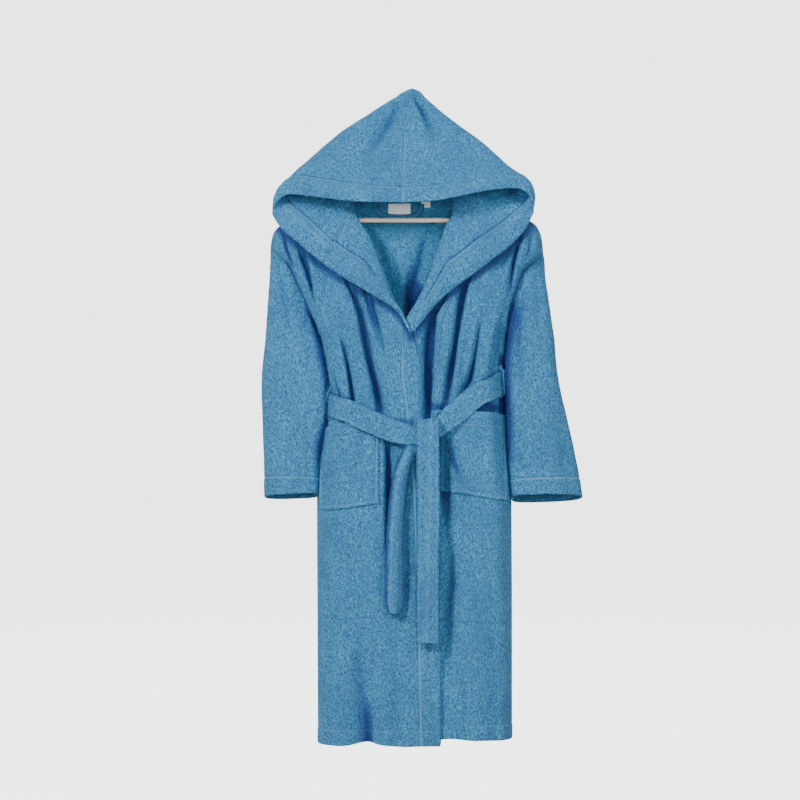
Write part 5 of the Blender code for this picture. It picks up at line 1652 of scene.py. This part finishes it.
def tubeMesh(name, route, radii, sides, material, caps=4):
    # a round bar along a path, its ends rounded over
    route = np.asarray(route, float)
    radii = np.broadcast_to(radii, len(route)).astype(float)
    way = np.gradient(route, axis=0)
    way /= np.linalg.norm(way, axis=1, keepdims=True)
    first, last = [], []
    for k in range(caps):
        angle = math.pi / 2 * (k + 1) / (caps + 1)
        first.append((route[0] - way[0] * radii[0] * 0.8 * math.cos(angle), way[0], radii[0] * math.sin(angle)))
        last.append((route[-1] + way[-1] * radii[-1] * 0.8 * math.cos(angle), way[-1], radii[-1] * math.sin(angle)))
    rings = first + list(zip(route, way, radii)) + last[::-1]
    angle = np.linspace(0, 2 * math.pi, sides, endpoint=False)
    points = []
    for centre, way, radius in rings:
        across = np.array([0.0, 1.0, 0.0])
        up = np.cross(way, across)
        up /= np.linalg.norm(up)
        points.append(centre + radius * (np.cos(angle)[:, None] * across + np.sin(angle)[:, None] * up))
    points = np.concatenate(points)
    index = np.arange(len(points)).reshape(-1, sides)
    wrap = np.concatenate([index, index[:, :1]], axis=1)
    quads = gridQuads(wrap)
    ends = [rings[0][0] - rings[0][1] * radii[0] * 0.05, rings[-1][0] + rings[-1][1] * radii[-1] * 0.05]
    total = len(points)
    caps0 = np.stack([wrap[0, :-1], np.full(sides, total), wrap[0, 1:], wrap[0, 1:]], axis=-1)
    caps1 = np.stack([wrap[-1, 1:], np.full(sides, total + 1), wrap[-1, :-1], wrap[-1, :-1]], axis=-1)
    faces = [list(f) for f in quads] + [list(f[:3]) for f in caps0] + [list(f[:3]) for f in caps1]
    return faceOut(plainMesh(name, (np.concatenate([points, ends]) * millimetre).tolist(), faces, material))


hanger = {
    "wireRadius": 2.0,
    "hookRadius": 17.0,
    "barRadius": 4.7,
    "barHeight": -236.5,
    "barInset": 6.0,
    # height above the arms and radius down the ferrule
    "ferrule": ((2.6, 4.2), (3, 5), (5, 5), (6, 4.6), (7.8, 4.6), (8, 4)),
}


def softenLine(values, times):
    for _ in range(times):
        padded = np.pad(values, 1, mode="edge")
        values = (padded[:-2] + 2 * padded[1:-1] + padded[2:]) / 4
    return values


def makeHanger(wire, cream):
    radius = hanger["hookRadius"]
    angles = np.radians(np.linspace(205, -61, 56))
    height = hanger["wireRadius"] - radius + radius * np.sin(angles)
    ring = np.stack([radius * np.cos(angles), 0 * angles, height], axis=-1)
    stem = [(3.5, 0, -37.5), (0.5, 0, -43.5), (0, 0, -50), (0, 0, -80), (0, 0, armCentreHeight + armRadius + 8.3)]
    route = lineCurve(np.concatenate([ring[::3], stem]))(np.linspace(0, 1, 110))
    route[0] = ring[0]
    hook = tubeMesh("hook", route, hanger["wireRadius"], 18, wire)
    reach = np.linspace(-armReach, armReach, 161)
    arms = np.stack([reach, 0 * reach, armHeight(np.abs(reach))], axis=-1)
    arms[70:91, 2] = softenLine(arms[60:101, 2], 12)[10:31]
    radii = armRadius + 1.6 * groove(reach, 14)
    bar = tubeMesh("arms", arms, radii, 20, cream)
    top = armCentreHeight + armRadius
    rings = hanger["ferrule"]
    ferrule = tubeMesh("ferrule", [(0, 0, top + z) for z, _ in rings], [r for _, r in rings], 24, wire, 2)
    ends = armReach - hanger["barInset"]
    along = [(x, 0, hanger["barHeight"]) for x in np.linspace(-ends, ends, 41)]
    rail = tubeMesh("rail", along, hanger["barRadius"], 20, cream)
    return hook, bar, ferrule, rail


class Wire:
    # a socket that can be used in sums
    def __init__(self, tree, socket):
        self.tree, self.socket = tree, socket

    def maths(self, kind, other=0.0, turned=False):
        values = (other, self) if turned else (self, other)
        return make(self.tree, "ShaderNodeMath", {"operation": kind}, list(values))

    def __add__(self, other):
        return self.maths("ADD", other)

    def __radd__(self, other):
        return self.maths("ADD", other)

    def __sub__(self, other):
        return self.maths("SUBTRACT", other)

    def __rsub__(self, other):
        return self.maths("SUBTRACT", other, True)

    def __mul__(self, other):
        return self.maths("MULTIPLY", other)

    def __rmul__(self, other):
        return self.maths("MULTIPLY", other)

    def __truediv__(self, other):
        return self.maths("DIVIDE", other)

    def __rtruediv__(self, other):
        return self.maths("DIVIDE", other, True)

    def __pow__(self, other):
        return self.maths("POWER", other)


def make(tree, kind, settings, inputs, output=0):
    # one node: its type, its settings, and its inputs by index or name
    node = tree.nodes.new(kind)
    for name, value in settings.items():
        setattr(node, name, value)
    pairs = inputs.items() if isinstance(inputs, dict) else enumerate(inputs)
    for key, value in pairs:
        if isinstance(value, Wire):
            tree.links.new(value.socket, node.inputs[key])
        else:
            node.inputs[key].default_value = value
    return Wire(tree, node.outputs[output])


def within(tree, value, low, high):
    # 0 below low, 1 above high, smooth between
    settings = {"interpolation_type": "SMOOTHSTEP"}
    return make(tree, "ShaderNodeMapRange", settings, {"Value": value, "From Min": low, "From Max": high})


def blend(tree, share, low, high):
    settings = {"data_type": "RGBA"}
    return make(tree, "ShaderNodeMix", settings, {0: share, 6: low, 7: high}, 2)


def scaled(tree, place, sizes):
    # coordinates in steps of the given sizes in millimetres
    factors = [1000.0 / size for size in sizes]
    return make(tree, "ShaderNodeVectorMath", {"operation": "MULTIPLY"}, [place, factors])


def colour(red, green, blue):
    # linear values of a screen colour
    return [((v / 255 + 0.055) / 1.055) ** 2.4 if v > 10 else v / 3295 for v in (red, green, blue)] + [1.0]


def cloudy(tree, place, sizes, values, output=0):
    # soft noise with the given sizes in millimetres
    inputs = {"Vector": scaled(tree, place, sizes), "Scale": 1.0, **values}
    return make(tree, "ShaderNodeTexNoise", {}, inputs, output)


def startMaterial(name):
    material = bpy.data.materials.new(name)
    material.use_nodes = True
    tree = material.node_tree
    shader = tree.nodes["Principled BSDF"]
    place = make(tree, "ShaderNodeTexCoord", {}, [], "Object")
    return material, tree, shader, place


terry = {
    # painted highlight on the nap's tips, also the tone of painted light
    "bright": (104, 210, 255),
    "base": (74, 162, 230),
    # painted shade between loops and crinkles, also the broad random blotches
    "dark": (48, 116, 180),
    # painted shade tone for folds, under edges and other shaded places
    "paintedShade": (12, 26, 138),
    # stitching lines: thread colour, partly a painted highlight on the stitched ridge
    "seam": (150, 230, 255),
    "crinkle": (2.6, 2.6, 4.6),
    "loop": 1.9,
    "relief": 0.009,
    "sheen": 0.1,
}


def terryMaterial(name):
    # looped nap: short wavy lines between rows of loops; its colour has a painted highlight on the tips, painted
    # shade between them and painted shade in deep folds
    material, tree, shader, place = startMaterial(name)
    bend = cloudy(tree, place, (60, 60, 60), {"Detail": 2.0}, "Color")
    bent = make(tree, "ShaderNodeVectorMath", {"operation": "MULTIPLY_ADD"}, [bend, (0.020, 0.020, 0.012), place])
    crinkle = cloudy(tree, bent, terry["crinkle"], {"Detail": 2.5, "Roughness": 0.6, "Distortion": 0.4})
    loops = make(
        tree,
        "ShaderNodeTexVoronoi",
        {"feature": "SMOOTH_F1"},
        {"Vector": scaled(tree, place, (terry["loop"],) * 3), "Scale": 1.0, "Smoothness": 0.4},
    )
    broad = cloudy(tree, place, (70, 70, 110), {"Detail": 3.0})
    seam = make(tree, "ShaderNodeAttribute", {"attribute_name": "seam"}, [], "Fac")
    ridges = within(tree, crinkle, 0.34, 0.66)
    height = (ridges * 0.62 + (1.0 - loops) * 0.5) * (1.0 - seam * 0.8)
    # colour follows the nap's height: painted shade where it is low, painted highlight where it is high
    tone = blend(tree, within(tree, height, 0.12, 0.55), colour(*terry["dark"]), colour(*terry["base"]))
    tone = blend(tree, within(tree, height, 0.5, 0.95), tone, colour(*terry["bright"]))
    # lighter stitching lines: thread colour with a painted ridge highlight
    tone = blend(tree, seam * 0.75, tone, colour(*terry["seam"]))
    tone = blend(tree, within(tree, broad, 0.35, 0.7) * 0.3, tone, colour(*terry["dark"]))
    # painted shade from each piece's shade field: the more it holds, the nearer the navy shade tone; where it is
    # below zero, painted light instead
    hollowShade = make(tree, "ShaderNodeAttribute", {"attribute_name": "hollowShade"}, [], "Fac")
    paintedLight = within(tree, 0.0 - hollowShade, 0.0, 12.0)
    tone = blend(tree, paintedLight * 0.5, tone, colour(*terry["bright"]))
    paintedShade = within(tree, hollowShade, 2.0, 18.0) * 0.88
    tone = blend(tree, paintedShade, tone, colour(*terry["paintedShade"]))
    tree.links.new(tone.socket, shader.inputs["Base Color"])
    shader.inputs["Roughness"].default_value = 0.92
    shader.inputs["Specular IOR Level"].default_value = 0.12
    shader.inputs["Sheen Weight"].default_value = terry["sheen"]
    shader.inputs["Sheen Roughness"].default_value = 0.55
    shader.inputs["Sheen Tint"].default_value = colour(150, 205, 235)
    bump = make(tree, "ShaderNodeBump", {}, {"Strength": 1.0, "Distance": terry["relief"], "Height": height})
    tree.links.new(bump.socket, shader.inputs["Normal"])
    return material


def plainMaterial(name, tones, size, roughness, metallic=0.0, relief=0.0002, stretch=(1, 1, 1)):
    # two tones, uneven roughness and a fine grain
    material, tree, shader, place = startMaterial(name)
    grain = cloudy(tree, place, [size * s for s in stretch], {"Detail": 5.0})
    tone = blend(tree, within(tree, grain, 0.3, 0.7), colour(*tones[0]), colour(*tones[1]))
    tree.links.new(tone.socket, shader.inputs["Base Color"])
    rough = grain * 0.2 + (roughness - 0.1)
    tree.links.new(rough.socket, shader.inputs["Roughness"])
    shader.inputs["Metallic"].default_value = metallic
    bump = make(tree, "ShaderNodeBump", {}, {"Strength": 0.6, "Distance": relief, "Height": grain})
    tree.links.new(bump.socket, shader.inputs["Normal"])
    return material


stitchSizes = {
    "Pitch": 0.0036,
    "Length": 0.0028,
    "Radius": 0.00055,
}


def stitchTree(material):
    # short rounded stitches along a path: length, gap, thickness
    tree = bpy.data.node_groups.new("stitches", "GeometryNodeTree")
    face = tree.interface
    face.new_socket("Path", in_out="INPUT", socket_type="NodeSocketGeometry")
    names = {}
    for name in stitchSizes:
        names[name] = face.new_socket(name, in_out="INPUT", socket_type="NodeSocketFloat").identifier
    face.new_socket("Stitches", in_out="OUTPUT", socket_type="NodeSocketGeometry")
    entry = tree.nodes.new("NodeGroupInput")
    source = {name: Wire(tree, entry.outputs[name]) for name in ("Path", *stitchSizes)}
    inputs = {"Curve": source["Path"], "Length": source["Pitch"]}
    spots = make(tree, "GeometryNodeCurveToPoints", {"mode": "LENGTH"}, inputs)
    turn = Wire(tree, spots.socket.node.outputs["Rotation"])
    ball = make(tree, "GeometryNodeMeshUVSphere", {}, {"Segments": 6, "Rings": 5, "Radius": 1.0})
    size = make(tree, "ShaderNodeCombineXYZ", {}, [source["Radius"], source["Radius"], source["Length"] * 0.5])
    shaped = make(tree, "GeometryNodeTransform", {}, {"Geometry": ball, "Scale": size})
    placed = make(tree, "GeometryNodeInstanceOnPoints", {}, {"Points": spots, "Instance": shaped, "Rotation": turn})
    real = make(tree, "GeometryNodeRealizeInstances", {}, [placed])
    smooth = make(tree, "GeometryNodeSetShadeSmooth", {}, [real])
    done = make(tree, "GeometryNodeSetMaterial", {}, {"Geometry": smooth, "Material": material})
    leave = tree.nodes.new("NodeGroupOutput")
    tree.links.new(done.socket, leave.inputs[0])
    return tree, names


def stitchRows(name, paths, tree, names, values, material):
    # bakes the stitches of several paths into one mesh
    curve = bpy.data.curves.new(name + "Paths", "CURVE")
    curve.dimensions = "3D"
    for path in paths:
        path = np.asarray(path, float) * millimetre
        line = curve.splines.new("POLY")
        line.points.add(len(path) - 1)
        line.points.foreach_set("co", np.concatenate([path, np.ones((len(path), 1))], axis=1).ravel())
    source = addObject(name + "Paths", curve)
    modifier = source.modifiers.new("stitches", "NODES")
    modifier.node_group = tree
    for label, value in values.items():
        modifier[names[label]] = value
    bpy.context.view_layer.update()
    graph = bpy.context.evaluated_depsgraph_get()
    mesh = bpy.data.meshes.new_from_object(source.evaluated_get(graph), depsgraph=graph)
    source.modifiers.remove(modifier)
    bpy.data.objects.remove(source, do_unlink=True)
    mesh.materials.clear()
    mesh.materials.append(material)
    return addObject(name, mesh)


def skinLine(piece, row=None, column=None, face=1, lift=0.1, part=slice(None)):
    # a line on a piece's outer or inner skin, along one row or column
    pick = (row, part) if row is not None else (part, column)
    grid, out = piece["grid"][pick], piece["out"][pick]
    half = np.broadcast_to(piece["thick"], piece["grid"].shape[:2])[pick][:, None] / 2
    return grid + face * out * (half + lift)


def even(path, step=3.0):
    # resamples a path at even steps, smoothing small jumps
    path = np.asarray(path, float)
    keys = np.concatenate([[0], np.cumsum(np.linalg.norm(np.diff(path, axis=0), axis=1))])
    at = np.linspace(0, keys[-1], max(3, int(keys[-1] / step)))
    return np.stack([np.interp(at, keys, path[:, k]) for k in range(3)], axis=-1)


# all pieces, from the panels outwards
front = {hand: makeFront(hand) for hand in hands}
back = makeBack()
turned = {hand: makeLapel(hand, front[hand]) for hand in hands}
sleeve = {hand: makeSleeve(hand, front[hand], back) for hand in hands}
half = {hand: makeHood(hand, back, front[hand], turned[hand]) for hand in hands}
print("panels, sleeves and hood worked out")
pocketPiece = {hand: makePocket(hand, front[hand]) for hand in hands}
beltPiece = makeBelt()
tailPiece = makeTail(frontTail, 83, 260, 5.4, True)
backTailPiece = makeTail(backTail, 85, 200, 4.6, False)
loopPiece = {"right": makeLoop(0.202, 87), "left": makeLoop(0.800, 89)}
innerSkin = {"grid": back["grid"], "out": -back["out"], "thick": back["thick"]}
neckTree = treeOf(innerSkin)
hangLoop = makeHangingLoop(neckTree)
labelPiece = makeLabel(neckTree, -24.0, neckLow[2] + 3.0, (42.0, 21.0), 93)
tagPiece = makeLabel(neckTree, 27.0, neckLow[2] + 7.0, (17.0, 11.0), 95)
print("pockets, belt and neck pieces worked out")

terryCloth = terryMaterial("terryCloth")
wireSteel = plainMaterial("wireSteel", ((176, 178, 180), (206, 208, 210)), 3.0, 0.28, 1.0)
creamPaint = plainMaterial("creamPaint", ((226, 216, 196), (244, 238, 224)), 9.0, 0.42, 0.0, 0.0002, (4, 1, 1))
labelCloth = plainMaterial("labelCloth", ((238, 240, 241), (252, 252, 252)), 0.9, 0.8, 0.0, 0.0003)
thread = plainMaterial("thread", ((56, 146, 206), (88, 176, 226)), 0.5, 0.7, 0.0, 0.0002)

made = {}
for hand in hands:
    made["front_" + hand] = shellMesh("front" + hand.title(), front[hand], terryCloth)
    made["lapel_" + hand] = shellMesh("lapel" + hand.title(), turned[hand], terryCloth)
    made["sleeve_" + hand] = shellMesh("sleeve" + hand.title(), sleeve[hand], terryCloth, True)
    made["hood_" + hand] = shellMesh("hood" + hand.title(), half[hand], terryCloth)
    made["pocket_" + hand] = shellMesh("pocket" + hand.title(), pocketPiece[hand], terryCloth)
    made["belt_loop_" + hand] = shellMesh("beltLoop" + hand.title(), loopPiece[hand], terryCloth)
made["back"] = shellMesh("backPanel", back, terryCloth)
made["belt_round"] = shellMesh("beltRound", beltPiece, terryCloth)
made["belt_tail_front"] = shellMesh("beltTailFront", tailPiece, terryCloth)
made["belt_tail_back"] = shellMesh("beltTailBack", backTailPiece, terryCloth)
made["hanging_loop"] = shellMesh("hangingLoop", hangLoop, terryCloth)
made["neck_label"] = shellMesh("neckLabel", labelPiece, labelCloth)
made["size_tag"] = shellMesh("sizeTag", tagPiece, labelCloth)
hook, arms, ferrule, rail = makeHanger(wireSteel, creamPaint)
made.update({"hanger_hook": hook, "hanger_arms": arms, "hanger_ferrule": ferrule, "hanger_bar": rail})
print("meshes made")

tree, names = stitchTree(thread)
rows = {}
for hand in hands:
    f, l, h, p = front[hand], turned[hand], half[hand], pocketPiece[hand]
    upTo = rowAt(0.79)
    rows["front_" + hand] = [skinLine(f, column=f["line"], part=slice(2, upTo))]
    rows["front_" + hand] += [skinLine(f, row=f["hemRow"], part=slice(2, -2))]
    rows["lapel_" + hand] = [skinLine(l, column=l["line"], part=slice(l["sewnFrom"], None))]
    turn = h["columns"]
    rows["hood_" + hand] = [skinLine(h, row=h["row"], part=slice(1, turn + 2))]
    rows["hood_" + hand] += [skinLine(h, row=h["row"], face=-1, part=slice(turn + 2, None))]
    cuff = skinLine(sleeve[hand], row=sleeve[hand]["cuffRow"])
    rows["sleeve_" + hand] = [np.concatenate([cuff, cuff[:1]])]
    rows["pocket_" + hand] = [skinLine(p, row=p[line], part=slice(3, -3)) for line in ("hemRow", "foot")]
    rows["pocket_" + hand] += [skinLine(p, column=p[hand], part=slice(2, -3))]
    rows["belt_loop_" + hand] = [skinLine(loopPiece[hand], column=c) for c in loopPiece[hand]["columns"]]
rows["back"] = [skinLine(back, row=back["hemRow"], part=slice(2, -2))]
rows["belt_tail_front"] = [skinLine(tailPiece, row=-5, part=slice(2, -2))]
rows["belt_tail_back"] = [skinLine(backTailPiece, column=c, part=slice(10, -2)) for c in backTailPiece["columns"]]
stitches = {}
for node, paths in rows.items():
    name = node.replace("_", "") + "Stitches"
    stitches[node] = stitchRows(name, [even(p) for p in paths], tree, names, stitchSizes, thread)
    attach(stitches[node], body)
print("stitches sewn")

for node, thing in made.items():
    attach(thing, body)
    nodes = (node, "belt_knot") if node == "belt_tail_front" else (node,)
    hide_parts(*nodes)
print("pieces placed on their body")

# each piece's cut before sewing: width, length and flat area in metres; a tube's width goes all round
cuts = {
    "back": (0.43, 1.06, 0.428, "hanger_arms"),
    "front_right": (0.33, 1.08, 0.275, "hanger_arms"),
    "front_left": (0.33, 1.08, 0.275, "hanger_arms"),
    "lapel_right": (0.14, 0.25, 0.0148, "front_right"),
    "lapel_left": (0.14, 0.25, 0.0148, "front_left"),
    "sleeve_right": (0.36, 0.46, 0.118, "hanger_arms"),
    "sleeve_left": (0.36, 0.46, 0.118, "hanger_arms"),
    "hood_right": (0.32, 0.33, 0.085, "hanger_hook"),
    "hood_left": (0.32, 0.33, 0.085, "hanger_hook"),
    "pocket_right": (0.135, 0.17, None, "front_right"),
    "pocket_left": (0.14, 0.17, None, "front_left"),
    "belt_round": (0.04, 0.87, None, "back"),
    "belt_tail_front": (0.04, 0.455, None, "belt_round"),
    "belt_tail_back": (0.04, 0.345, None, "belt_round"),
    "belt_loop_right": (0.01, 0.068, None, "back"),
    "belt_loop_left": (0.01, 0.068, None, "back"),
    "hanging_loop": (0.01, 0.117, None, "back"),
    "neck_label": (0.042, 0.021, None, "back"),
    "size_tag": (0.017, 0.011, None, "back"),
}
for node, (width, length, area, on) in cuts.items():
    sewn = [stitches[node]] if node in stitches else []


studio = {
    "floorHeight": -1.42,
    "floorRadius": 6.5,
    "bendRadius": 1.5,
    "wallHeight": 9.0,
    "sides": 72,
    "glow": 3.3,
    "aim": (0.0, 0.0, -0.6),
    # place, size and power of each lamp
    "lamps": {
        "key": ((-2.2, -2.8, 1.2), 0.7, 156),
        "second": ((2.2, -2.8, 1.2), 0.9, 64),
        "front": ((0.2, -4.7, -0.34), 1.2, 98),
        "rear": ((0.0, 4.2, 1.9), 1.4, 95),
    },
    "sky": (0.92, 0.95, 1.0, 1.0),
    "skyStrength": 0.22,
    "cameraPlace": (-0.0228, -5.05, -0.5814),
    "lens": 118.4,
}


def makeStage():
    # a pale floor that curves up into a round wall
    material, tree, shader, place = startMaterial("paleStage")
    grain = cloudy(tree, place, (400, 400, 400), {})
    tone = blend(tree, grain, colour(236, 237, 239), colour(240, 241, 242))
    tree.links.new(tone.socket, shader.inputs["Base Color"])
    shader.inputs["Roughness"].default_value = 0.95
    shader.inputs["Emission Color"].default_value = colour(240, 242, 244)
    shader.inputs["Emission Strength"].default_value = studio["glow"]
    flat, bend = studio["floorRadius"], studio["bendRadius"]
    profile = [(0.0, 0.0), (5.0, 0.0)]
    profile += [(flat + bend * math.sin(a), bend - bend * math.cos(a)) for a in np.linspace(0, math.pi / 2, 10)]
    profile += [(flat + bend, 2 * bend), (flat + bend, studio["wallHeight"])]
    sides = studio["sides"]
    points, faces = [], []
    for radius, height in profile:
        for k in range(sides):
            angle = 2 * math.pi * k / sides
            points.append((radius * math.cos(angle), radius * math.sin(angle), height + studio["floorHeight"]))
    for r in range(len(profile) - 1):
        for k in range(sides):
            n = (k + 1) % sides
            faces.append((r * sides + k, r * sides + n, (r + 1) * sides + n, (r + 1) * sides + k))
    stage = plainMesh("paleStage", points, faces, material)
    stage.visible_diffuse = False
    stage.visible_shadow = False


def areaLight(name, place, size, power):
    light = bpy.data.lights.new(name, "AREA")
    light.shape = "RECTANGLE"
    light.size = light.size_y = size
    light.energy = power
    thing = addObject(name, light)
    thing.location = place
    thing.rotation_euler = (Vector(studio["aim"]) - Vector(place)).to_track_quat("-Z", "Y").to_euler()


makeStage()
for name, (place, size, power) in studio["lamps"].items():
    areaLight(name, place, size, power)
world = bpy.data.worlds.new("studio")
world.use_nodes = True
background = world.node_tree.nodes["Background"]
background.inputs[0].default_value = studio["sky"]
background.inputs[1].default_value = studio["skyStrength"]
bpy.context.scene.world = world

lens = bpy.data.cameras.new("camera")
lens.lens = studio["lens"]
lens.sensor_width = 36
lens.clip_end = 60
camera = addObject("camera", lens)
camera.location = studio["cameraPlace"]
camera.rotation_euler = (math.pi / 2, 0, 0)
bpy.context.scene.camera = camera
print("stage, lights and camera ready")
